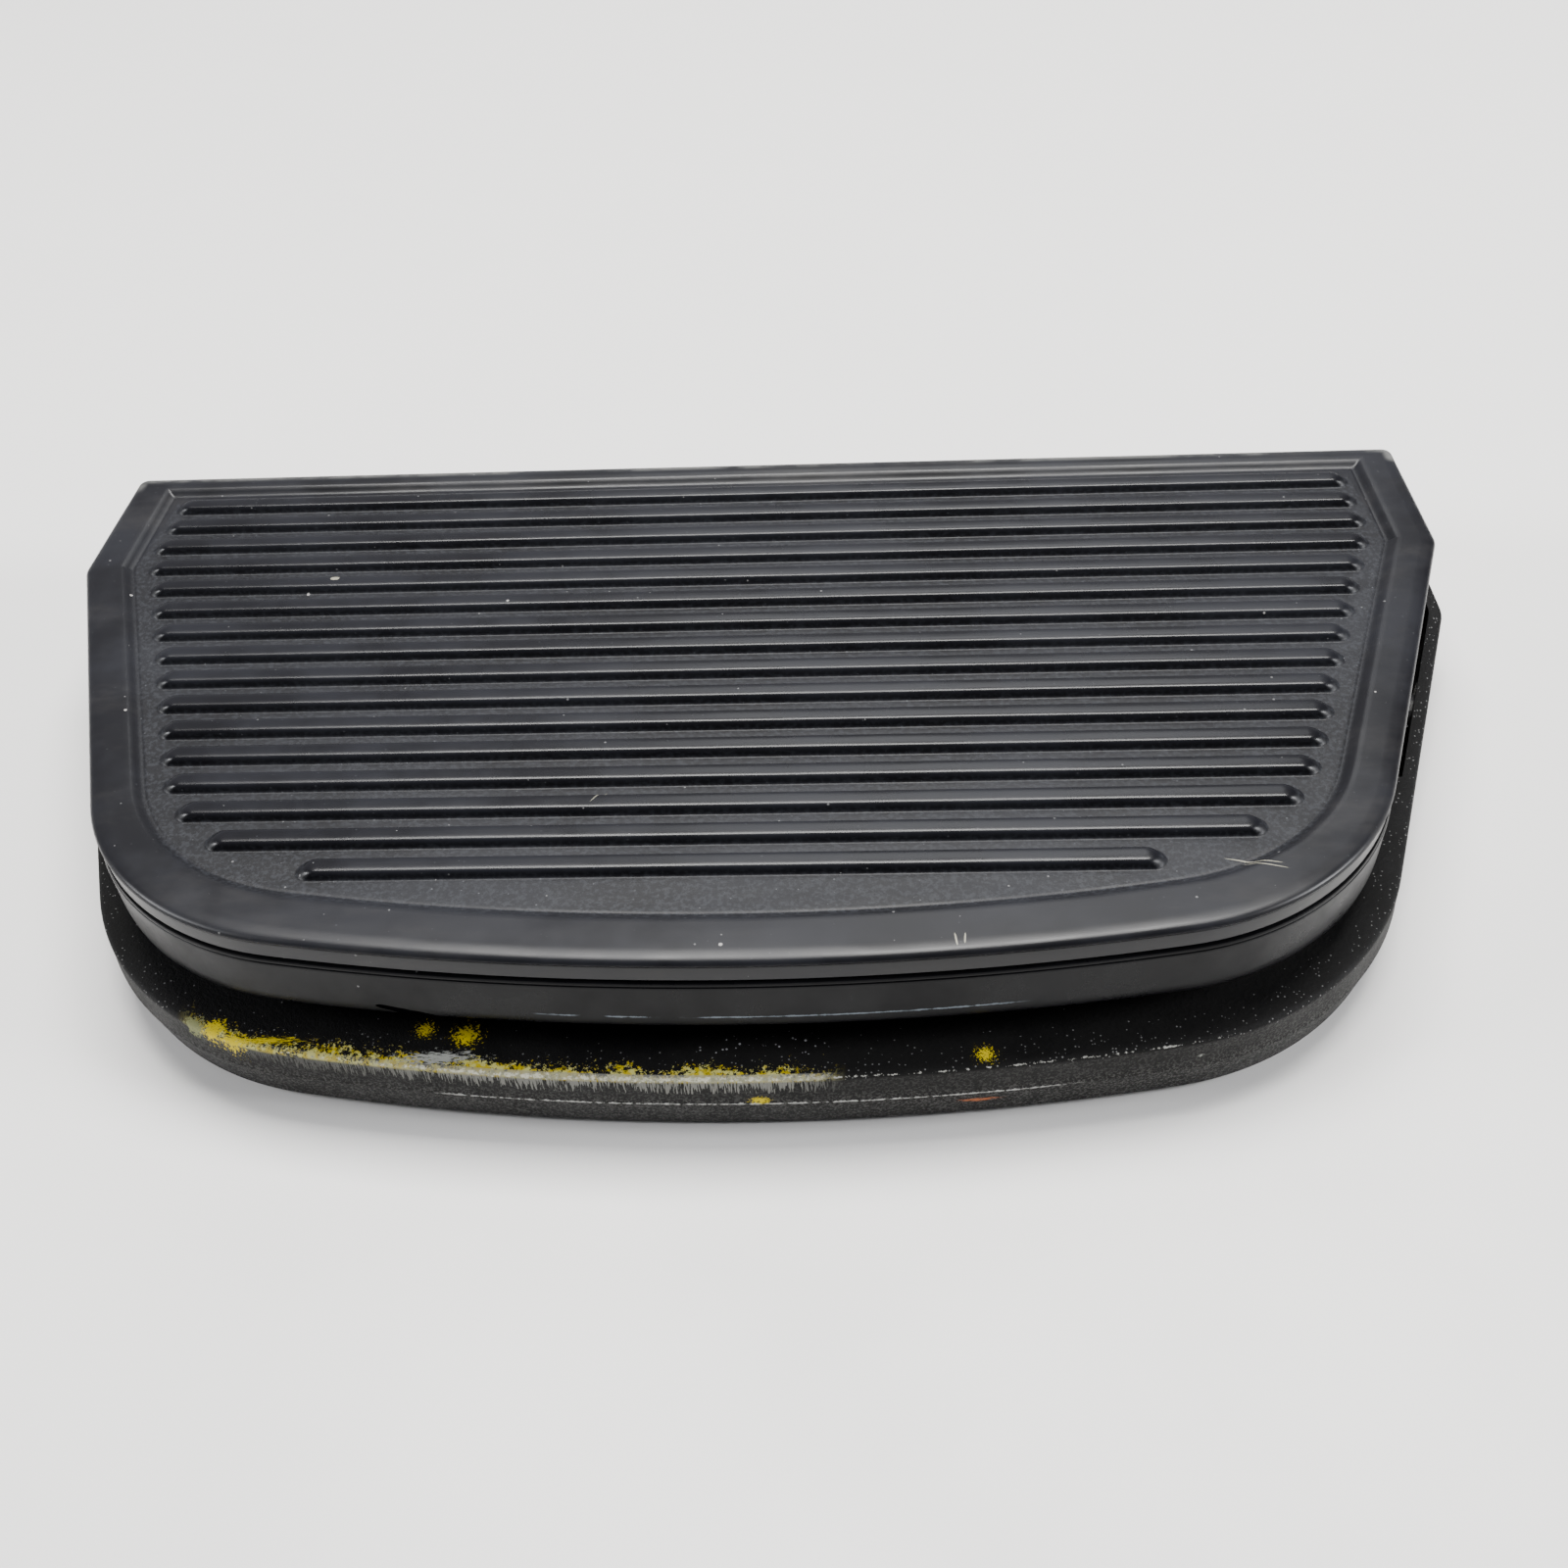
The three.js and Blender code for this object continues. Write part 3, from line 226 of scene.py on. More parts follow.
def outline(inset, rear=None, front=None):
    rear = inset if rear is None else rear
    front = inset if front is None else front
    side, rear_side = -TAPER, math.atan2(REAR_DRAW, REAR_SIDE)
    bend_point = np.array([WIDTH / 2, DEPTH / 2 - REAR_SIDE])
    on_taper = bend_point - inset * unit(side)
    on_rear = bend_point - inset * unit(rear_side)
    rear_edge = np.array([0.0, DEPTH / 2 - rear])
    bend = crossing(on_taper, along(side), on_rear, along(rear_side))
    corner = crossing(on_rear, along(rear_side), rear_edge, np.array([1.0, 0.0]))
    bow_radius, corner_radius = BOW_RADIUS - front, max(CORNER_RADIUS - inset, 2)
    bow_centre = np.array([0.0, BOW_RADIUS - DEPTH / 2])
    start = on_taper - corner_radius * unit(side)
    way = -along(side)
    away = start - bow_centre
    half = away @ way
    centre = start + way * (-half + math.sqrt(half**2 - away @ away + (bow_radius - corner_radius) ** 2))
    bow_end = math.atan2(*(centre - bow_centre)[::-1])
    points = arc(bow_centre, bow_radius, -math.pi / 2, bow_end, BOW_STEPS)[:-1]
    points += arc(centre, corner_radius, bow_end, side, CORNER_STEPS)
    points += rounded(bend, side, rear_side, max(BEND_RADIUS - inset, 0.4), BEND_STEPS)
    points += rounded(corner, rear_side, math.pi / 2, max(REAR_RADIUS - inset, 0.4), REAR_STEPS)
    mirrored = [point * (-1, 1) for point in reversed(points[1:])]
    return np.array(points + mirrored)


print("the outline has", len(outline(0)), "points")

# %% [markdown]
# A loft makes the three pieces. A circle is extruded ring by ring, and each new ring is set
# on its own outline, so that the side walls follow the section exactly. Two helpers then
# store distances on the finished points: how far inside the edge a point lies, and how high
# above the panel. The finishes read these, so wear and dust follow the real edges.


# %% Loft
def loft(name, rings, closed=False):
    """Extrudes a circle ring by ring and sets each new ring on its outline. A ring is
    (inset, height) or (inset, rear inset, front inset, height). A closed loft should end where it
    began. Setting the edges below clears the selected points, so the bridge makes no faces."""
    outlines = [(outline(*ring[:-1]), ring[-1]) for ring in rings]
    count = len(outlines[0][0])
    bpy.ops.object.select_all(action="DESELECT")
    bpy.ops.mesh.primitive_circle_add(vertices=count, radius=0.1, fill_type="NOTHING" if closed else "NGON")
    obj = bpy.context.object
    obj.name = obj.data.name = name
    bpy.ops.object.mode_set(mode="EDIT")
    bpy.ops.mesh.select_all(action="SELECT")
    spots = {}
    for step, (points, height) in enumerate(outlines):
        if step:
            bpy.ops.mesh.extrude_region_move()
        shell = bmesh.from_edit_mesh(obj.data)
        shell.verts.ensure_lookup_table()
        ring = [vertex for vertex in shell.verts if vertex.select]
        if step:
            spots = {vertex.index: next(
                spots[edge.other_vert(vertex).index] for edge in vertex.link_edges
                if not edge.other_vert(vertex).select) for vertex in ring}
        else:
            spots = {vertex.index: vertex.index for vertex in ring}
        for vertex in ring:
            x, y = points[spots[vertex.index]]
            vertex.co = Vector((x, y, height)) * MM
        bmesh.update_edit_mesh(obj.data)
    if closed:
        shell = bmesh.from_edit_mesh(obj.data)
        shell.verts.ensure_lookup_table()
        for vertex in shell.verts:
            vertex.select = vertex.index < count or vertex.index >= count * (len(rings) - 1)
        for edge in shell.edges:
            edge.select = len(edge.link_faces) == 1
        bmesh.update_edit_mesh(obj.data)
        bpy.ops.mesh.bridge_edge_loops()
    bpy.ops.object.mode_set(mode="OBJECT")
    return face_outwards(obj)


def set_down(obj):
    """Treadle pieces are built level with the pivot at zero, then tipped to the rest angle."""
    only(obj)
    obj.location = PIVOT
    obj.rotation_euler.x = -REST_TILT
    bpy.ops.object.transform_apply(location=True, rotation=True, scale=True)
    return obj


def mark_edge_distance(obj):
    """Stores how far inside the treadle's outline each point lies, in metres."""
    line = outline(0) * MM
    a, b = line, np.roll(line, -1, axis=0)
    span = b - a
    spots = np.array([vertex.co[:2] for vertex in obj.data.vertices])
    share = ((spots[:, None] - a) * span).sum(2) / (span**2).sum(1)
    nearest = a + np.clip(share, 0, 1)[..., None] * span
    gap = np.linalg.norm(spots[:, None] - nearest, axis=2)
    best = gap.argmin(1)
    step = spots - a[best]
    inside = np.sign(span[best, 0] * step[:, 1] - span[best, 1] * step[:, 0])
    inside[inside == 0] = 1
    attribute = obj.data.attributes.new("from_edge", "FLOAT", "POINT")
    attribute.data.foreach_set("value", (inside * gap.min(1)).astype(np.float32))
    return obj


def mark_height(obj, level):
    """Stores how far above a level each point lies, in metres, before the piece is tipped."""
    attribute = obj.data.attributes.new("above_panel", "FLOAT", "POINT")
    heights = np.array([vertex.co.z for vertex in obj.data.vertices]) - level * MM
    attribute.data.foreach_set("value", heights.astype(np.float32))
    return obj


joint = next(joint for joint in frame["joints"] if joint["name"] == "treadle_rock")
PIVOT = Vector(joint["pos_m"])
REST_TILT = math.radians(2.9)
print("the treadle turns about z", round(PIVOT.z / MM, 2), "mm")

# %% [markdown]
# The mat is one rubber moulding. Seen from outside it has an upright edge, a crease under a
# round nose, a smooth border, a soft slope with a hairline at its foot, and then the sunken
# panel that carries the ribs. Each of those is a step in the loft. The creases are real
# geometry, because they have to cast their own shadow.

# %% Tread mat body
MAT_TOP, MAT_BOTTOM = 16.9, 12.3
PANEL_SIDE, PANEL_REAR, PANEL_FRONT = 7.4, 4.9, 9.4
PANEL_DROP = 1.05
panel_z = MAT_TOP - PANEL_DROP


def panel_ring(extra, height):
    return (PANEL_SIDE + extra, PANEL_REAR + extra, PANEL_FRONT + extra, height)


mat = loft("moulded_tread_mat", [
    (0.9, MAT_BOTTOM), (0.5, MAT_BOTTOM + 0.12), (0.35, MAT_BOTTOM + 0.4), (0.3, MAT_TOP - 1.9),
    (0.36, MAT_TOP - 1.66), (0.55, MAT_TOP - 1.56), (0.36, MAT_TOP - 1.46), (0.1, MAT_TOP - 1.3),
    (0.0, MAT_TOP - 1.05), (0.1, MAT_TOP - 0.76), (0.34, MAT_TOP - 0.5), (0.72, MAT_TOP - 0.3),
    (1.3, MAT_TOP - 0.16), (2.1, MAT_TOP - 0.06), (2.9, MAT_TOP),
    panel_ring(-1.6, MAT_TOP - 0.02), panel_ring(-0.9, MAT_TOP - 0.07), panel_ring(-0.4, MAT_TOP - 0.2),
    panel_ring(0.15, MAT_TOP - 0.6), panel_ring(0.6, panel_z + 0.12), panel_ring(0.95, panel_z - 0.02),
    panel_ring(1.15, panel_z - 0.08), panel_ring(1.3, panel_z - 0.1), panel_ring(1.45, panel_z - 0.04),
    panel_ring(1.8, panel_z),
])
print("the mat's body has", faces_of(mat), "triangles")

# %% [markdown]
# One rib is a low round-ended bar. It starts as a small disc that is extruded and narrowed
# upwards into a button, and the button is then pulled apart at its middle to the length it
# needs. Sixteen of them stand on the panel, each ending a set distance from its edge.

# %% Ribs
RIB_COUNT, RIB_PITCH, FIRST_RIB = 16, 6.79, 10.6
RIB_STEPS = [(2.35, -0.4), (2.35, 0.0), (2.12, 0.05), (1.97, 0.18), (1.88, 0.45), (1.79, 0.85),
             (1.68, 1.14), (1.49, 1.35), (1.2, 1.48), (0.75, 1.54), (0.25, 1.55)]
RIB_MARGIN = 3.1
TIP_SLOPE = 1.5
RIB_SIDES = 28


def rib_reach(y):
    """Half the length of the rib at this place, so that it stops short of the panel's edge."""
    edge = outline(PANEL_SIDE + RIB_MARGIN, PANEL_REAR, PANEL_FRONT + RIB_MARGIN)
    right = edge[edge[:, 0] > 0]
    order = np.argsort(right[:, 1])
    return float(np.interp(y - RIB_STEPS[0][0], right[order, 1], right[order, 0]))


def rib(y):
    bpy.ops.object.select_all(action="DESELECT")
    radius, height = RIB_STEPS[0]
    bpy.ops.mesh.primitive_circle_add(
        vertices=RIB_SIDES, radius=radius * MM, fill_type="NGON",
        location=(0, y * MM, (panel_z + height) * MM), rotation=(0, 0, math.pi / RIB_SIDES))
    obj = bpy.context.object
    bpy.ops.object.transform_apply(location=True, rotation=True, scale=True)
    bpy.ops.object.mode_set(mode="EDIT")
    for (wide, low), (narrow, high) in zip(RIB_STEPS, RIB_STEPS[1:]):
        bpy.ops.mesh.extrude_region_move(TRANSFORM_OT_translate={"value": (0, 0, (high - low) * MM)})
        bpy.ops.transform.resize(
            value=(narrow / wide, narrow / wide, 1), center_override=(0, y * MM, (panel_z + high) * MM))
    reach = rib_reach(y) - RIB_STEPS[0][0]
    shell = bmesh.from_edit_mesh(obj.data)
    for vertex in shell.verts:
        lift = max(vertex.co.z / MM - panel_z, 0) / RIB_STEPS[-1][1]
        vertex.co.x += math.copysign((reach - TIP_SLOPE * lift**1.4) * MM, vertex.co.x)
    bmesh.update_edit_mesh(obj.data)
    bpy.ops.object.mode_set(mode="OBJECT")
    return face_outwards(obj)


ribs = [rib(DEPTH / 2 - FIRST_RIB - i * RIB_PITCH) for i in range(RIB_COUNT)]
bpy.ops.object.select_all(action="DESELECT")
for bar in ribs:
    bar.select_set(True)
bpy.context.view_layer.objects.active = ribs[0]
bpy.ops.object.join()
cut(mat, ribs[0], operation="UNION")
mark_edge_distance(mat)
mark_height(mat, panel_z)
smooth(set_down(mat))
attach(mat, "treadle")
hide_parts("tread_mat")
print("the mat with its ribs has", faces_of(mat), "triangles")

# %% [markdown]
# The band under the mat hides the edge of the metal pan. It is a loop of rubber with a small
# lip at the top, a second fine groove below it, and a rounded lower edge, so it is lofted
# round its own section. It should then be closed on itself, but the loft's bridge makes no
# faces, so its inner wall is missing. A boolean with a jittered ball cuts the short ragged
# tear at the front left. Its jitter has a fixed seed, so it never changes.

# %% Edge band
BAND_TOP, BAND_BOTTOM, BAND_WALL = 12.0, 2.1, 3.0
band = loft("moulded_tread_band", [
    (BAND_WALL, BAND_TOP - 0.3), (BAND_WALL - 0.3, BAND_TOP), (0.5, BAND_TOP), (0.2, BAND_TOP - 0.1),
    (0.08, BAND_TOP - 0.35), (0.1, BAND_TOP - 0.6), (0.26, BAND_TOP - 0.7), (0.26, BAND_TOP - 0.8),
    (0.06, BAND_TOP - 0.92), (0.0, BAND_TOP - 1.3), (0.3, BAND_BOTTOM + 2.2), (0.48, BAND_BOTTOM + 0.9),
    (0.6, BAND_BOTTOM + 0.35), (0.85, BAND_BOTTOM + 0.08), (1.2, BAND_BOTTOM),
    (BAND_WALL - 0.3, BAND_BOTTOM), (BAND_WALL, BAND_BOTTOM + 0.3)], closed=True)
TEAR_FROM, TEAR_TO = (-52.6, -62.5, 3.9), (-43.0, -63.9, 1.7)
TEAR_PAST_END, TEAR_DEPTH, TEAR_HEIGHT, TEAR_JITTER = 0.6, 1.5, 0.75, 0.16
bpy.ops.object.select_all(action="DESELECT")
bpy.ops.mesh.primitive_ico_sphere_add(subdivisions=3, radius=MM)
tear = bpy.context.object
tear_way = (Vector(TEAR_TO) - Vector(TEAR_FROM)) * MM
tear.scale = (tear_way.length / MM / 2 + TEAR_PAST_END, TEAR_DEPTH, TEAR_HEIGHT)
tear.rotation_euler = tear_way.to_track_quat("X", "Z").to_euler()
tear.location = (Vector(TEAR_TO) + Vector(TEAR_FROM)) / 2 * MM
bpy.ops.object.transform_apply(location=True, rotation=True, scale=True)
ragged = np.random.default_rng(7)
for vertex in tear.data.vertices:
    vertex.co += Vector(ragged.uniform(-TEAR_JITTER, TEAR_JITTER, 3)) * MM
cut(band, tear)
mark_edge_distance(band)
smooth(set_down(band))
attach(band, "treadle")
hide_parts("tread_band")
print("the band has", faces_of(band), "triangles")

# %% [markdown]
# The tray is a shallow casting. Its wall leans out to a ridge, stands up from there, and
# turns over a soft rim into a ledge at the front. The hollow is cut with three lofted tools:
# the floor of the box, the open room at the rear, and the well inside the ledge. The
# finished mesh has 6 open edges, and 56 edges that more than two faces share.

# %% Tray
FLOOR_BOTTOM, FLOOR_TOP, RIM_TOP = 1.0, 3.4, 13.9
RIDGE = FLOOR_BOTTOM + 6.85
OVERHANG, WALL, TUCK = 4.3, 2.6, 1.5
LEDGE_INSET, LEDGE_BOTTOM, LEDGE_REAR = 12.0, RIM_TOP - 3.0, -9.0
ROOM_WIDTH, ROOM_DEPTH, ROOM_HEIGHT = 400, 200, 50


def rod(radius, start, end, sides=48):
    """A round cutting tool from one point to another."""
    start, end = Vector(start) * MM, Vector(end) * MM
    bpy.ops.object.select_all(action="DESELECT")
    bpy.ops.mesh.primitive_cylinder_add(
        vertices=sides, radius=radius * MM, depth=(end - start).length, location=(start + end) / 2,
        rotation=(end - start).to_track_quat("Z", "Y").to_euler())
    bpy.ops.object.transform_apply(location=True, rotation=True, scale=True)
    return bpy.context.object


tray = loft("cast_tray", [
    (-OVERHANG + TUCK + 0.4, FLOOR_BOTTOM), (-OVERHANG + TUCK, FLOOR_BOTTOM + 0.3),
    (-OVERHANG + 0.14, RIDGE - 0.6), (-OVERHANG, RIDGE - 0.15), (-OVERHANG, RIDGE + 0.15),
    (-OVERHANG + 0.1, RIDGE + 0.5), (-OVERHANG + 0.16, RIM_TOP - 0.75), (-OVERHANG + 0.24, RIM_TOP - 0.42),
    (-OVERHANG + 0.42, RIM_TOP - 0.17), (-OVERHANG + 0.7, RIM_TOP - 0.04)]
    + [(-OVERHANG + step, RIM_TOP) for step in (1.0, 1.6, 2.3, 3.2, 4.5, 6.5, 9.0, 12.0)])
wall_inset = -OVERHANG + WALL
below_ledge = loft("below_ledge", [(wall_inset, FLOOR_TOP), (wall_inset, LEDGE_BOTTOM)])
well = loft("well", [(LEDGE_INSET, LEDGE_BOTTOM - 1), (LEDGE_INSET, RIM_TOP + 1)])
behind_ledge = loft("behind_ledge", [(wall_inset, LEDGE_BOTTOM - 1), (wall_inset, RIM_TOP + 1)])
bpy.ops.object.select_all(action="DESELECT")
bpy.ops.mesh.primitive_cube_add(size=1, location=(0, (LEDGE_REAR + ROOM_DEPTH / 2) * MM, RIM_TOP * MM))
rear_room = bpy.context.object
rear_room.scale = (ROOM_WIDTH * MM, ROOM_DEPTH * MM, ROOM_HEIGHT * MM)
bpy.ops.object.transform_apply(location=True, rotation=True, scale=True)
cut(behind_ledge, rear_room, operation="INTERSECT")
cut(tray, below_ledge, behind_ledge, well)
print("the tray has", faces_of(tray), "triangles before its holes")

# %% [markdown]
# The tray has a shallow pocket for each foot and a round opening for each socket. Their places
# are read from the working model's own feet and sockets, so that they always fit. The blind
# screw holes are left out, because the screws in them hide them.

# %% Holes in the tray
FOOT_RADIUS, FOOT_POCKET = 7.3, 1.3
COLLAR_RADIUS, BEHIND_MOUTH, PAST_MOUTH = 4.4, 3.4, 20.0
feet = [name for name in frame["nodes"] if name.startswith("foot_")]
for name in sorted(feet):
    low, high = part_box(name)
    middle = (low + high) / 2 / MM
    cut(tray, rod(FOOT_RADIUS, (middle.x, middle.y, 0), (middle.x, middle.y, FLOOR_BOTTOM + FOOT_POCKET)))
for name, side in (("input_jack", 1), ("output_jack", -1)):
    low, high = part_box(name)
    mouth = max(abs(low.x), abs(high.x)) / MM
    _, y, z = (low + high) / 2 / MM
    opening = [(side * reach, y, z) for reach in (mouth - BEHIND_MOUTH, mouth + PAST_MOUTH)]
    cut(tray, rod(COLLAR_RADIUS, *opening))
mark_edge_distance(tray)
smooth(tray)
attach(tray, "base")
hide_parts("base_tray")
print("the finished tray has", faces_of(tray), "triangles")

# %% [markdown]
# From here on it is about finishes. A finish is more than a colour: rubber has a fine grain,
# smudges, dust and hair scratches; a coating is worn where shoes and cases touch it. Each of
# these effects is a node group with a few named inputs, made once and used by many
# materials, while the shader itself stays in the material.


# %% Small tools for node trees
def calc(tree, operation, a, b=0.0, c=0.0):
    return place(tree, "ShaderNodeMath", {0: a, 1: b, 2: c}, operation=operation).outputs[0]


def ramp(tree, value, low, high, start=0.0, end=1.0):
    """Turns low..high into start..end with soft ends."""
    return place(tree, "ShaderNodeMapRange", {
        "Value": value, "From Min": low, "From Max": high, "To Min": start, "To Max": end},
        interpolation_type="SMOOTHSTEP").outputs["Result"]


def between(tree, value, low, high, soft):
    rising = ramp(tree, value, low - soft, low + soft)
    falling = ramp(tree, value, high - soft, high + soft, 1.0, 0.0)
    return calc(tree, "MULTIPLY", rising, falling)


def noise(tree, vector, scale, detail=2.0, roughness=0.5):
    return place(tree, "ShaderNodeTexNoise", {
        "Vector": vector, "Scale": scale, "Detail": detail, "Roughness": roughness}).outputs[0]


def turned(tree, vector, centre=(0, 0, 0), angle=(0, 0, 0), size=(1, 1, 1)):
    """The vector as seen from a patch with this centre, turn and size."""
    return place(tree, "ShaderNodeMapping", {
        "Vector": vector, "Location": centre, "Rotation": angle, "Scale": size},
        vector_type="TEXTURE").outputs[0]


def mixed(tree, mask, base, over):
    return place(tree, "ShaderNodeMix", {0: mask, 6: base, 7: over}, data_type="RGBA").outputs[2]


def new_group(name, inputs, outputs):
    group = bpy.data.node_groups.new(name, "ShaderNodeTree")
    for label, kind, value in inputs:
        socket = group.interface.new_socket(name=label, in_out="INPUT", socket_type="NodeSocket" + kind)
        if value is not None:
            socket.default_value = value
    for label, kind in outputs:
        group.interface.new_socket(name=label, in_out="OUTPUT", socket_type="NodeSocket" + kind)
    return group, place(group, "NodeGroupInput").outputs, place(group, "NodeGroupOutput").inputs


def effect(tree, group, **inputs):
    node = tree.nodes.new("ShaderNodeGroup")
    node.node_tree = group
    for label, value in inputs.items():
        if isinstance(value, bpy.types.NodeSocket):
            tree.links.new(value, node.inputs[label])
        else:
            node.inputs[label].default_value = value
    return node.outputs


# %% [markdown]
# Moulded rubber, powder coat and plated steel all have a fine uneven surface. One group gives
# it as a height, from two sizes of noise, and adds a slow cloudy tone for the colour.

# %% Grain
grain, given, result = new_group("fine_grain", [
    ("Vector", "Vector", None), ("Scale", "Float", 2500.0)], [("Height", "Float"), ("Tone", "Float")])
coarse = noise(grain, given["Vector"], given["Scale"], 3.0, 0.6)
fine = noise(grain, given["Vector"], calc(grain, "MULTIPLY", given["Scale"], 3.1), 1.0)
grain.links.new(calc(grain, "MULTIPLY_ADD", fine, 0.45, coarse), result["Height"])
cloud = noise(grain, given["Vector"], calc(grain, "DIVIDE", given["Scale"], 40.0), 4.0, 0.65)
grain.links.new(ramp(grain, cloud, 0.36, 0.64), result["Tone"])
print("grain: a height for the bump and a slow tone for the colour")

# %% [markdown]
# Dust is a scatter of tiny dots with gaps between them. Voronoi cells give each dot a place
# and a random colour, whose first part says whether the dot is there and whose second part
# sets its size. With a stretched vector the same dots become hair scratches.

# %% Flecks
flecks, given, result = new_group("loose_flecks", [
    ("Vector", "Vector", None), ("Scale", "Float", 300.0), ("Amount", "Float", 0.1),
    ("Size", "Float", 0.12)], [("Mask", "Float")])
cells = place(flecks, "ShaderNodeTexVoronoi", {"Vector": given["Vector"], "Scale": given["Scale"]})
chance = place(flecks, "ShaderNodeSeparateColor", {"Color": cells.outputs["Color"]})
radius = calc(flecks, "MULTIPLY", calc(flecks, "ADD", chance.outputs[1], 0.3), given["Size"])
spot = calc(flecks, "LESS_THAN", cells.outputs["Distance"], radius)
chosen = calc(flecks, "LESS_THAN", chance.outputs[0], given["Amount"])
flecks.links.new(calc(flecks, "MULTIPLY", spot, chosen), result["Mask"])
print("flecks: dust when round, hair scratches when the vector is stretched")

# %% [markdown]
# Wear eats inwards from an edge, and its border is ragged. The group takes the distance from
# the edge, moves the border to and fro with noise, and is full inside it.

# %% Worn edge
worn_edge, given, result = new_group("worn_edge", [
    ("Vector", "Vector", None), ("Distance", "Float", 1.0), ("Reach", "Float", 0.001),
    ("Ragged", "Float", 0.001), ("Scale", "Float", 900.0)], [("Mask", "Float")])
rough_line = noise(worn_edge, given["Vector"], given["Scale"], 4.0, 0.7)
shift = calc(worn_edge, "MULTIPLY", calc(worn_edge, "SUBTRACT", rough_line, 0.5), given["Ragged"])
spare = calc(worn_edge, "SUBTRACT", calc(worn_edge, "ADD", given["Reach"], shift), given["Distance"])
worn_edge.links.new(ramp(worn_edge, spare, -0.00006, 0.00006), result["Mask"])
print("worn edge: full inside a ragged reach from the edge")

# %% [markdown]
# A chip, a smear or a heap of dust is one patch at a known place. The vector is turned into
# the patch's own space, where its rim is at length one, and noise makes that rim ragged.

# %% Marks
mark_shape, given, result = new_group("single_mark", [
    ("Vector", "Vector", None), ("Ragged", "Float", 0.6), ("Scale", "Float", 3.5)], [("Mask", "Float")])
length = place(mark_shape, "ShaderNodeVectorMath", {0: given["Vector"]}, operation="LENGTH")
rough_rim = noise(mark_shape, given["Vector"], given["Scale"], 5.0, 0.75)
shift = calc(mark_shape, "MULTIPLY", calc(mark_shape, "SUBTRACT", rough_rim, 0.46), given["Ragged"])
rim = calc(mark_shape, "MULTIPLY_ADD", shift, 4.0, length.outputs["Value"])
mark_shape.links.new(ramp(mark_shape, rim, 0.90, 1.0, 1.0, 0.0), result["Mask"])


def mark(tree, vector, centre, size, angle=0.0, ragged=0.6, scale=3.5):
    """One mark with a ragged rim, centre and half sizes in millimetres, turned about Z."""
    local = turned(tree, vector, Vector(centre) * MM, (0, 0, math.radians(angle)), Vector(size) * MM)
    return effect(tree, mark_shape, Vector=local, Ragged=ragged, Scale=scale)["Mask"]


print("marks: one patch with a ragged rim")

# %% [markdown]
# Every material starts and ends the same way. The start sets the shader's constants on its
# own sockets and reads object coordinates, which keep a pattern still on a moving piece.
# The end joins colour, roughness and one bump. The effects go in between.


# %% Starting a material
def new_material(name, roughness, metallic=0.0, specular=0.5):
    material = bpy.data.materials.new(name)
    material.use_nodes = True
    tree = material.node_tree
    shader = tree.nodes["Principled BSDF"]
    shader.inputs["Roughness"].default_value = roughness
    shader.inputs["Metallic"].default_value = metallic
    shader.inputs["Specular IOR Level"].default_value = specular
    spots = place(tree, "ShaderNodeTexCoord").outputs["Object"]
    return material, tree, shader, spots


def finish_with(tree, shader, colour, roughness, height, depth):
    """Joins the finished colour, roughness and height to the shader. Depth is in millimetres."""
    tree.links.new(colour, shader.inputs["Base Color"])
    tree.links.new(roughness, shader.inputs["Roughness"])
    bump = place(tree, "ShaderNodeBump", {"Height": height, "Strength": 1.0, "Distance": depth * MM})
    tree.links.new(bump.outputs["Normal"], shader.inputs["Normal"])


def dress(obj, material):
    obj.data.materials.clear()
    obj.data.materials.append(material)


# %% [markdown]
# Tread rubber. It is nearly black and slightly blue, with a fine grain on the panel, a
# smoother border, and a faint unevenness that makes the highlights on the ribs wander. Dust
# specks and hair scratches lie on top, and the rear border is rubbed to a chalky grey, which
# is partly a painted reflection of the bright backdrop.

# %% Tread rubber
tread_rubber, tree, shader, spots = new_material("tread_rubber", 0.34, specular=0.26)
edge = place(tree, "ShaderNodeAttribute", attribute_name="from_edge").outputs["Fac"]
xyz = place(tree, "ShaderNodeSeparateXYZ", {"Vector": spots}).outputs
fine = effect(tree, grain, Vector=spots, Scale=1500.0)
on_panel = ramp(tree, edge, 0.0078, 0.0092)
on_border = calc(tree, "SUBTRACT", 1.0, on_panel)
above = place(tree, "ShaderNodeAttribute", attribute_name="above_panel").outputs["Fac"]
on_flat = calc(tree, "MULTIPLY", on_panel, ramp(tree, above, 0.0013, 0.0006))
colour = mixed(tree, fine["Tone"], (0.0045, 0.0045, 0.0058, 1), (0.0080, 0.0084, 0.0112, 1))
smear = noise(tree, turned(tree, spots, size=(2.2, 1, 1)), 70.0, 5.0, 0.7)
smudge = ramp(tree, smear, 0.48, 0.72, 0.0, 0.5)
colour = mixed(tree, calc(tree, "MULTIPLY", smudge, on_border), colour, (0.022, 0.021, 0.021, 1))
# The rear border: rubbed wear, made rougher, whose chalky grey is partly a painted reflection of the bright
# backdrop.
rear = calc(tree, "MULTIPLY", ramp(tree, xyz["Y"], 0.0615, 0.0635), ramp(tree, edge, 0.0026, 0.0010))
rubbed_and_painted_reflection = calc(tree, "MULTIPLY", rear, ramp(tree, noise(tree, spots, 55.0, 4.0, 0.7), 0.46, 0.62, 0.05, 1.0))
colour = mixed(tree, calc(tree, "MULTIPLY", rubbed_and_painted_reflection, 0.45), colour, (0.20, 0.20, 0.19, 1))
powder = effect(tree, flecks, Vector=spots, Scale=1100.0, Amount=0.14, Size=0.15)["Mask"]
drift = ramp(tree, noise(tree, spots, 30.0, 3.0, 0.6), 0.3, 0.7, 0.15, 0.5)
drift = calc(tree, "MULTIPLY", drift, ramp(tree, on_flat, 0.0, 1.0, 0.35, 1.0))
colour = mixed(tree, calc(tree, "MULTIPLY", powder, drift), colour, (0.12, 0.125, 0.135, 1))
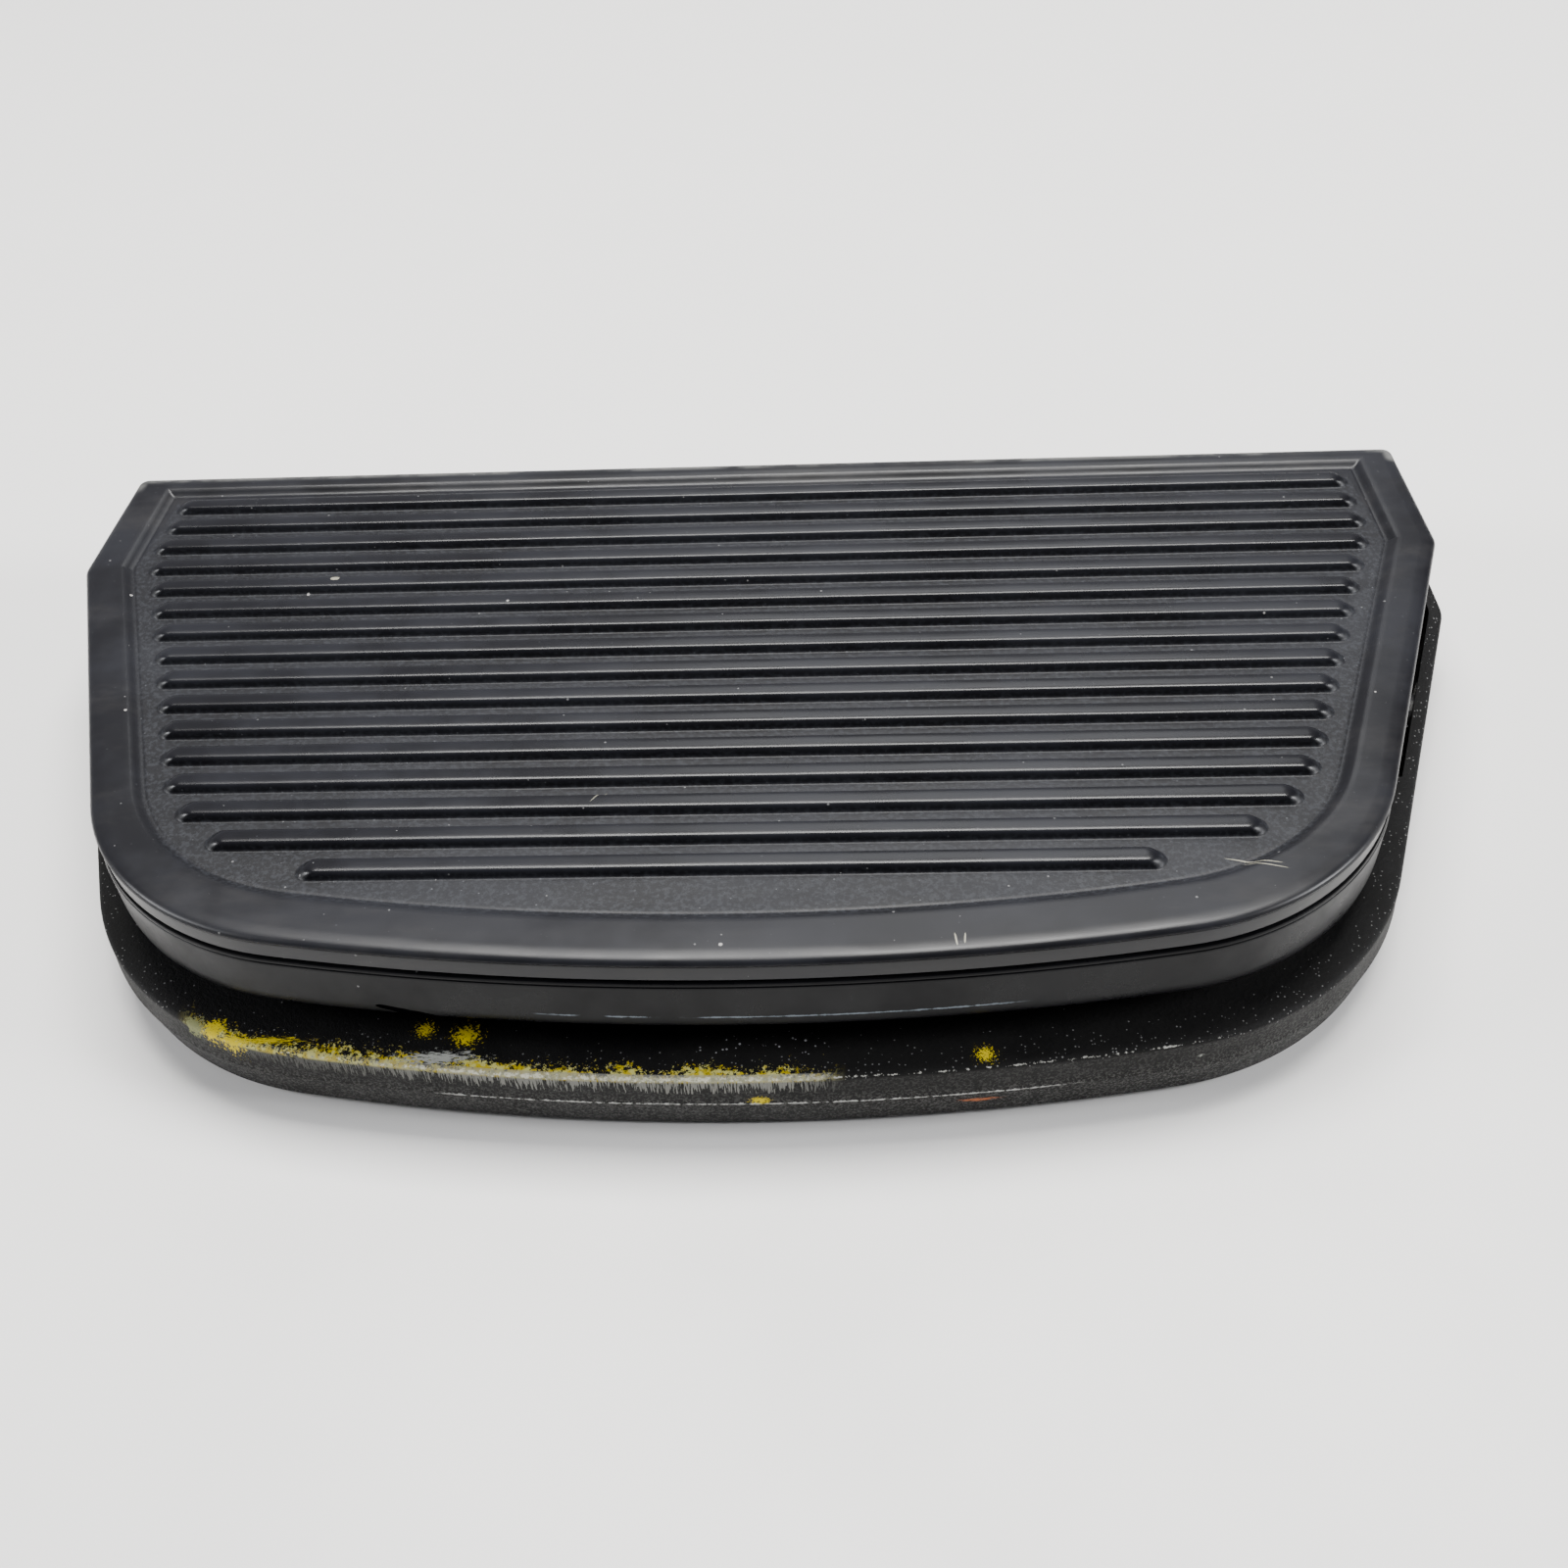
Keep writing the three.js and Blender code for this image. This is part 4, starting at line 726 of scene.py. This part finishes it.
bloom = ramp(tree, noise(tree, spots, 1300.0, 3.0, 0.7), 0.46, 0.62, 0.0, 0.5)
colour = mixed(tree, calc(tree, "MULTIPLY", bloom, on_flat), colour, (0.026, 0.028, 0.033, 1))
dust = effect(tree, flecks, Vector=spots, Scale=520.0, Amount=0.12, Size=0.085)["Mask"]
crumbs = effect(tree, flecks, Vector=spots, Scale=210.0, Amount=0.06, Size=0.055)["Mask"]
colour = mixed(tree, calc(tree, "MULTIPLY", dust, 0.5), colour, (0.22, 0.22, 0.22, 1))
for lean, stretch, share in ((24, 18, 0.05), (-58, 14, 0.04), (81, 22, 0.03)):
    leaning = turned(tree, spots, angle=(0, 0, math.radians(lean)), size=(stretch, 1, 1))
    hairs = effect(tree, flecks, Vector=leaning, Scale=380.0, Amount=share, Size=0.03)["Mask"]
    colour = mixed(tree, calc(tree, "MULTIPLY", hairs, 0.3), colour, (0.22, 0.22, 0.21, 1))
colour = mixed(tree, crumbs, colour, (0.30, 0.29, 0.28, 1))
for centre, size, angle in (((79, -46, 32), (4.6, 0.13, 8), -14), ((80.5, -47.2, 32), (3.6, 0.10, 8), -16),
                            ((34.0, -61.6, 34), (0.16, 1.3, 8), 8), ((35.3, -61.4, 34), (0.15, 1.1, 8), -4),
                            ((-76, 30.3, 30), (0.9, 0.6, 8), 0), ((-21, -30, 32), (2.2, 0.09, 8), 58)):
    colour = mixed(tree, mark(tree, spots, centre, size, angle, 0.2), colour, (0.24, 0.23, 0.18, 1))
sheen = calc(tree, "MULTIPLY_ADD", fine["Tone"], 0.08, 0.24)
sheen = calc(tree, "MULTIPLY_ADD", on_flat, 0.20, sheen)
sheen = calc(tree, "MULTIPLY_ADD", on_border, 0.07, sheen)
sheen = calc(tree, "MULTIPLY_ADD", rubbed_and_painted_reflection, 0.25, sheen)
uneven = noise(tree, turned(tree, spots, size=(3, 1, 1)), 90.0, 2.0, 0.5)
height = calc(tree, "MULTIPLY_ADD", calc(tree, "MULTIPLY", fine["Height"], on_flat), 0.10, uneven)
finish_with(tree, shader, colour, sheen, height, 0.26)
dress(mat, tread_rubber)
print("tread rubber on", mat.name)

# %% [markdown]
# Band rubber is smoother and glossier than the tread. Along its lower front edge a row of
# pale scuffs shows where the treadle has rubbed on the tray.

# %% Band rubber
band_rubber, tree, shader, spots = new_material("band_rubber", 0.3, specular=0.11)
xyz = place(tree, "ShaderNodeSeparateXYZ", {"Vector": spots}).outputs
fine = effect(tree, grain, Vector=spots, Scale=1800.0)
colour = mixed(tree, fine["Tone"], (0.0032, 0.0033, 0.0040, 1), (0.0058, 0.0060, 0.0070, 1))
SCUFF_ABOVE_PIVOT = 4.5
SCUFF_HEIGHT = (PIVOT.z / MM + SCUFF_ABOVE_PIVOT + DEPTH / 2 * math.sin(REST_TILT)) * MM
SCUFF_LEFT, SCUFF_RIGHT = -0.030, 0.042
scuff_line = calc(tree, "ABSOLUTE", calc(tree, "SUBTRACT", xyz["Z"], SCUFF_HEIGHT))
broken = ramp(tree, noise(tree, turned(tree, spots, size=(3, 1, 1)), 150.0, 3.0, 0.6), 0.50, 0.56)
on_span = between(tree, xyz["X"], SCUFF_LEFT, SCUFF_RIGHT, 0.004)
on_front = calc(tree, "MULTIPLY", on_span, ramp(tree, xyz["Y"], -0.060, -0.062))
scuffed = calc(tree, "MULTIPLY", effect(
    tree, worn_edge, Vector=spots, Distance=scuff_line, Reach=0.00012, Ragged=0.0006)["Mask"], broken)
colour = mixed(tree, calc(tree, "MULTIPLY", scuffed, on_front), colour, (0.16, 0.19, 0.22, 1))
colour = mixed(tree, mark(tree, spots, (-11, -66, 25), (3.2, 6, 2.6)), colour, (0.004, 0.004, 0.005, 1))
dust = effect(tree, flecks, Vector=spots, Scale=420.0, Amount=0.07, Size=0.09)["Mask"]
colour = mixed(tree, calc(tree, "MULTIPLY", dust, 0.6), colour, (0.3, 0.3, 0.3, 1))
haze = ramp(tree, noise(tree, spots, 60.0, 5.0, 0.7), 0.35, 0.7, 0.26, 0.44)
finish_with(tree, shader, colour, haze, calc(
    tree, "MULTIPLY_ADD", fine["Height"], 0.02, noise(tree, spots, 90.0, 2.0)), 0.12)
dress(band, band_rubber)
print("band rubber on", band.name)

# %% [markdown]
# Tray coating. It is a coarse black powder coat, with painted light on it: the wall is painted
# lighter than the ledge top as painted bounce light from the table, the ledge darker as painted
# shade, and the pale grains thicken down the wall, partly as painted bounce light. At the front
# it has been rubbed through in layers: flecks of an older yellow paint on the ledge, a cream and
# bare metal line at the very edge with streaks running down from it, and a thinner broken line
# on the ridge. The distances are taken from the edge itself, so the wear follows the bow.

# %% Tray coating, whole
tray_coating, tree, shader, spots = new_material("tray_coating", 0.75, specular=0.16)
edge = place(tree, "ShaderNodeAttribute", attribute_name="from_edge").outputs["Fac"]
xyz = place(tree, "ShaderNodeSeparateXYZ", {"Vector": spots}).outputs
inward = calc(tree, "ADD", edge, OVERHANG * MM)
down = calc(tree, "SUBTRACT", RIM_TOP * MM, xyz["Z"])
corner = calc(tree, "MAXIMUM", inward, down)
fine = effect(tree, grain, Vector=spots, Scale=1500.0)
stone = ramp(tree, noise(tree, spots, 2300.0, 2.0, 0.7), 0.46, 0.62)
colour = mixed(tree, fine["Tone"], (0.0022, 0.0022, 0.0024, 1), (0.0048, 0.0047, 0.0045, 1))
# The wall is painted lighter than the ledge top: painted bounce light from the table on the wall, painted shade on
# the ledge.
on_wall = ramp(tree, down, 0.0004, 0.0012)
colour = mixed(tree, on_wall, colour, (0.011, 0.011, 0.0105, 1))
# Pale stone grains: real grain, made thicker lower down the wall as painted bounce light from the table.
stony_grain_and_painted_bounce = calc(tree, "MULTIPLY", stone, ramp(tree, down, 0.003, 0.0075, 0.35, 0.9))
colour = mixed(tree, calc(tree, "MULTIPLY", stony_grain_and_painted_bounce, on_wall), colour, (0.080, 0.078, 0.075, 1))
on_ledge = calc(tree, "SUBTRACT", 1.0, on_wall)
rim_dust = calc(tree, "MULTIPLY", on_ledge, ramp(tree, inward, 0.0075, 0.0008, 0.01, 0.42))
dust = effect(tree, flecks, Vector=spots, Scale=2000.0, Amount=rim_dust, Size=0.24)["Mask"]
colour = mixed(tree, calc(tree, "MULTIPLY", dust, 0.7), colour, (0.20, 0.20, 0.20, 1))
for centre, size in (((-1.2, -64.3, 14), (4.5, 2.2, 3)), ((9.8, -64.1, 14), (5.0, 2.4, 3))):
    heap = mark(tree, spots, centre, size, ragged=0.9)
    dusty = effect(tree, flecks, Vector=spots, Scale=2000.0, Amount=0.30, Size=0.3)["Mask"]
    colour = mixed(tree, calc(tree, "MULTIPLY", heap, dusty), colour, (0.34, 0.34, 0.36, 1))
print("the coating's black, its stony grain and its dust")

# %% [markdown]
# The wear has a heavy part on the left and a light part on the right, both in metres along
# X. Yellow flecks thin out inwards, streaks run down from the edge, the bare core follows the
# corner, and single marks are placed last. The places are this pedal's own history, so they
# are listed one by one and not scattered.

# %% Tray coating, worn front
HEAVY_FROM, HEAVY_TO, LIGHT_TO = -0.0835, 0.014, 0.074
front = ramp(tree, xyz["Y"], -0.045, -0.052)
heavy = calc(tree, "MULTIPLY", between(tree, xyz["X"], HEAVY_FROM, HEAVY_TO, 0.004), front)
light = calc(tree, "MULTIPLY", between(tree, xyz["X"], HEAVY_TO, LIGHT_TO, 0.004), front)
flaking = noise(tree, spots, 1900.0, 4.0, 0.75)
patchy = ramp(tree, noise(tree, spots, 190.0, 3.0, 0.6), 0.34, 0.66, -0.08, 0.08)
score = calc(tree, "MULTIPLY_ADD", inward, -78.0, calc(tree, "ADD", flaking, patchy))
loose = ramp(tree, score, 0.385, 0.405)
yellow = calc(tree, "MULTIPLY", loose, calc(tree, "MULTIPLY", heavy, on_ledge))
faded = ramp(tree, noise(tree, spots, 800.0, 3.0), 0.42, 0.58)
tint = mixed(tree, faded, (0.50, 0.39, 0.0, 1), (0.58, 0.55, 0.16, 1))
colour = mixed(tree, yellow, colour, tint)
streaks = noise(tree, turned(tree, spots, size=(1, 1, 14)), 4200.0, 2.0, 0.6)
streak_reach = ramp(tree, calc(tree, "MULTIPLY_ADD", patchy, 0.5, streaks), 0.34, 0.66, 0.0003, 0.0038)
run_down = calc(tree, "MULTIPLY", ramp(tree, calc(tree, "SUBTRACT", streak_reach, down), 0.0, 0.0003),
                calc(tree, "MULTIPLY", ramp(tree, inward, 0.0011, 0.0009), heavy))
run_down = calc(tree, "MULTIPLY", run_down, ramp(tree, xyz["X"], -0.075, -0.030, 0.25, 1.0))
colour = mixed(tree, calc(tree, "MULTIPLY", run_down, 0.6), colour, (0.30, 0.30, 0.27, 1))
core = effect(tree, worn_edge, Vector=spots, Distance=corner, Ragged=0.0024, Scale=1300.0,
              Reach=ramp(tree, xyz["X"], -0.085, -0.025, 0.00005, 0.00058))["Mask"]
primer = ramp(tree, noise(tree, spots, 1100.0, 4.0, 0.7), 0.42, 0.58)
cream = mixed(tree, primer, (0.30, 0.30, 0.20, 1), (0.66, 0.65, 0.52, 1))
colour = mixed(tree, calc(tree, "MULTIPLY", core, heavy), colour, cream)
thin = effect(tree, worn_edge, Vector=spots, Distance=corner, Reach=0.00025, Ragged=0.0016)["Mask"]
colour = mixed(tree, calc(tree, "MULTIPLY", thin, light), colour, (0.40, 0.40, 0.37, 1))
ridge_gap = calc(tree, "ABSOLUTE", calc(tree, "SUBTRACT", xyz["Z"], RIDGE * MM))
ridge_line = effect(tree, worn_edge, Vector=spots, Distance=ridge_gap, Reach=0.00010, Ragged=0.0012)["Mask"]
ridge_span = calc(tree, "MULTIPLY", between(tree, xyz["X"], -0.044, 0.050, 0.006), front)
colour = mixed(tree, calc(tree, "MULTIPLY", ridge_line, ridge_span), colour, (0.42, 0.42, 0.40, 1))
YELLOW, OLIVE = (0.66, 0.52, 0.0, 1), (0.20, 0.21, 0.09, 1)
CHALK, RUST = (0.36, 0.37, 0.34, 1), (0.42, 0.13, 0.05, 1)
for centre, size, ragged, finish in (
        ((-84.6, -59.8, 14), (2.6, 2.0, 3), 0.8, OLIVE), ((-80.6, -60.2, 14), (2.1, 1.8, 3), 1.2, YELLOW),
        ((-77.6, -62.4, 14), (3.2, 1.0, 3), 1.5, YELLOW), ((-72, -62.6, 14), (6.0, 0.6, 3), 1.9, YELLOW),
        ((-47.2, -60.8, 14), (1.5, 1.3, 3), 1.9, YELLOW), ((-40.6, -62.0, 14), (2.3, 1.9, 3), 1.6, YELLOW),
        ((-44.4, -66.2, 14), (6.4, 1.2, 3), 1.5, CHALK), ((38.6, -66.4, 14), (1.5, 1.3, 3), 1.7, YELLOW),
        ((53.5, -69.0, 13.6), (1.6, 0.7, 3), 1.4, CHALK), ((4.6, -70.8, 8.6), (1.7, 3, 0.8), 1.2, YELLOW),
        ((38.2, -70.4, 5.3), (4.4, 3, 0.8), 0.5, RUST), ((71.2, -66.5, 10.4), (0.7, 3, 0.4), 0.8, CHALK)):
    colour = mixed(tree, mark(tree, spots, centre, size, ragged=ragged), colour, finish)
bare = calc(tree, "MULTIPLY", calc(tree, "MAXIMUM", core, yellow), heavy)
sheen = calc(tree, "MULTIPLY_ADD", bare, -0.12, ramp(tree, fine["Tone"], 0.0, 1.0, 0.58, 0.74))
height = calc(tree, "MULTIPLY_ADD", bare, -0.6, fine["Height"])
finish_with(tree, shader, colour, sheen, height, 0.16)
dress(tray, tray_coating)
print("the coating is heavily worn along", round((HEAVY_TO - HEAVY_FROM) / MM), "mm of the front edge")

# %% [markdown]
# The pieces inside keep their working shapes and only get a finish: plated steel with
# faint brushing, brass, natural nylon, moulded black plastic, pressed alloy, soft rubber and
# the jacket of the two leads. They are all built by one function, with a grain, a tone and
# a few specks of dust, because they differ only in their numbers.


# %% Finishes of the inner pieces
def plain_finish(name, dark, pale, roughness, metallic, scale, depth, stretch=(1, 1, 1), dusting=0.05):
    """Roughness is a pair, low and high. Depth is the grain's, in millimetres."""
    material, tree, shader, spots = new_material(name, roughness[0], metallic)
    fine = effect(tree, grain, Vector=turned(tree, spots, size=stretch), Scale=scale)
    colour = mixed(tree, fine["Tone"], (*dark, 1), (*pale, 1))
    dust = effect(tree, flecks, Vector=spots, Scale=700.0, Amount=dusting, Size=0.12)["Mask"]
    colour = mixed(tree, calc(tree, "MULTIPLY", dust, 0.5), colour, (0.45, 0.44, 0.42, 1))
    sheen = ramp(tree, fine["Height"], 0.3, 1.1, *roughness)
    finish_with(tree, shader, colour, sheen, fine["Height"], depth)
    return material


FINISHES = {
    "pan_alloy": plain_finish(
        "pan_alloy", (0.36, 0.37, 0.38), (0.50, 0.51, 0.52), (0.32, 0.5), 1.0, 1400.0, 0.02, (6, 1, 1)),
    "zinc_steel": plain_finish(
        "zinc_steel", (0.46, 0.47, 0.49), (0.62, 0.62, 0.60), (0.22, 0.42), 1.0, 2200.0, 0.012, (1, 5, 1)),
    "brass": plain_finish(
        "brass", (0.48, 0.34, 0.13), (0.66, 0.50, 0.24), (0.22, 0.42), 1.0, 2400.0, 0.012),
    "white_nylon": plain_finish(
        "white_nylon", (0.60, 0.58, 0.51), (0.72, 0.70, 0.64), (0.42, 0.6), 0.0, 1800.0, 0.02),
    "black_plastic": plain_finish(
        "black_plastic", (0.012, 0.012, 0.013), (0.024, 0.024, 0.026), (0.36, 0.56), 0.0, 2600.0, 0.05),
    "soft_rubber": plain_finish(
        "soft_rubber", (0.010, 0.010, 0.010), (0.022, 0.021, 0.020), (0.7, 0.9), 0.0, 1500.0, 0.08),
    "lead_jacket": plain_finish(
        "lead_jacket", (0.016, 0.016, 0.018), (0.032, 0.032, 0.035), (0.34, 0.5), 0.0, 2000.0, 0.02),
}
for subpart in frame["record"]["subparts"]:
    if subpart["material_slot"] in FINISHES:
        dress(frame["nodes"][subpart["node"]], FINISHES[subpart["material_slot"]])
print("finishes given:", ", ".join(FINISHES))

# %% [markdown]
# The table is a plain pale sheet. It is part of the stage and not of the pedal.

# %% Table
bpy.ops.object.select_all(action="DESELECT")
bpy.ops.mesh.primitive_plane_add(size=6, location=(0, 0, 0))
table = bpy.context.object
table.name = "studio_table"
table_sheet, tree, shader, spots = new_material("table_sheet", 0.5)
cloud = ramp(tree, noise(tree, spots, 9.0, 4.0, 0.6), 0.35, 0.7)
colour = mixed(tree, cloud, (0.800, 0.792, 0.775, 1), (0.770, 0.762, 0.748, 1))
finish_with(tree, shader, colour, ramp(tree, cloud, 0.0, 1.0, 0.5, 0.6), noise(tree, spots, 900.0), 0.01)
dress(table, table_sheet)
print("the table lies at z 0")
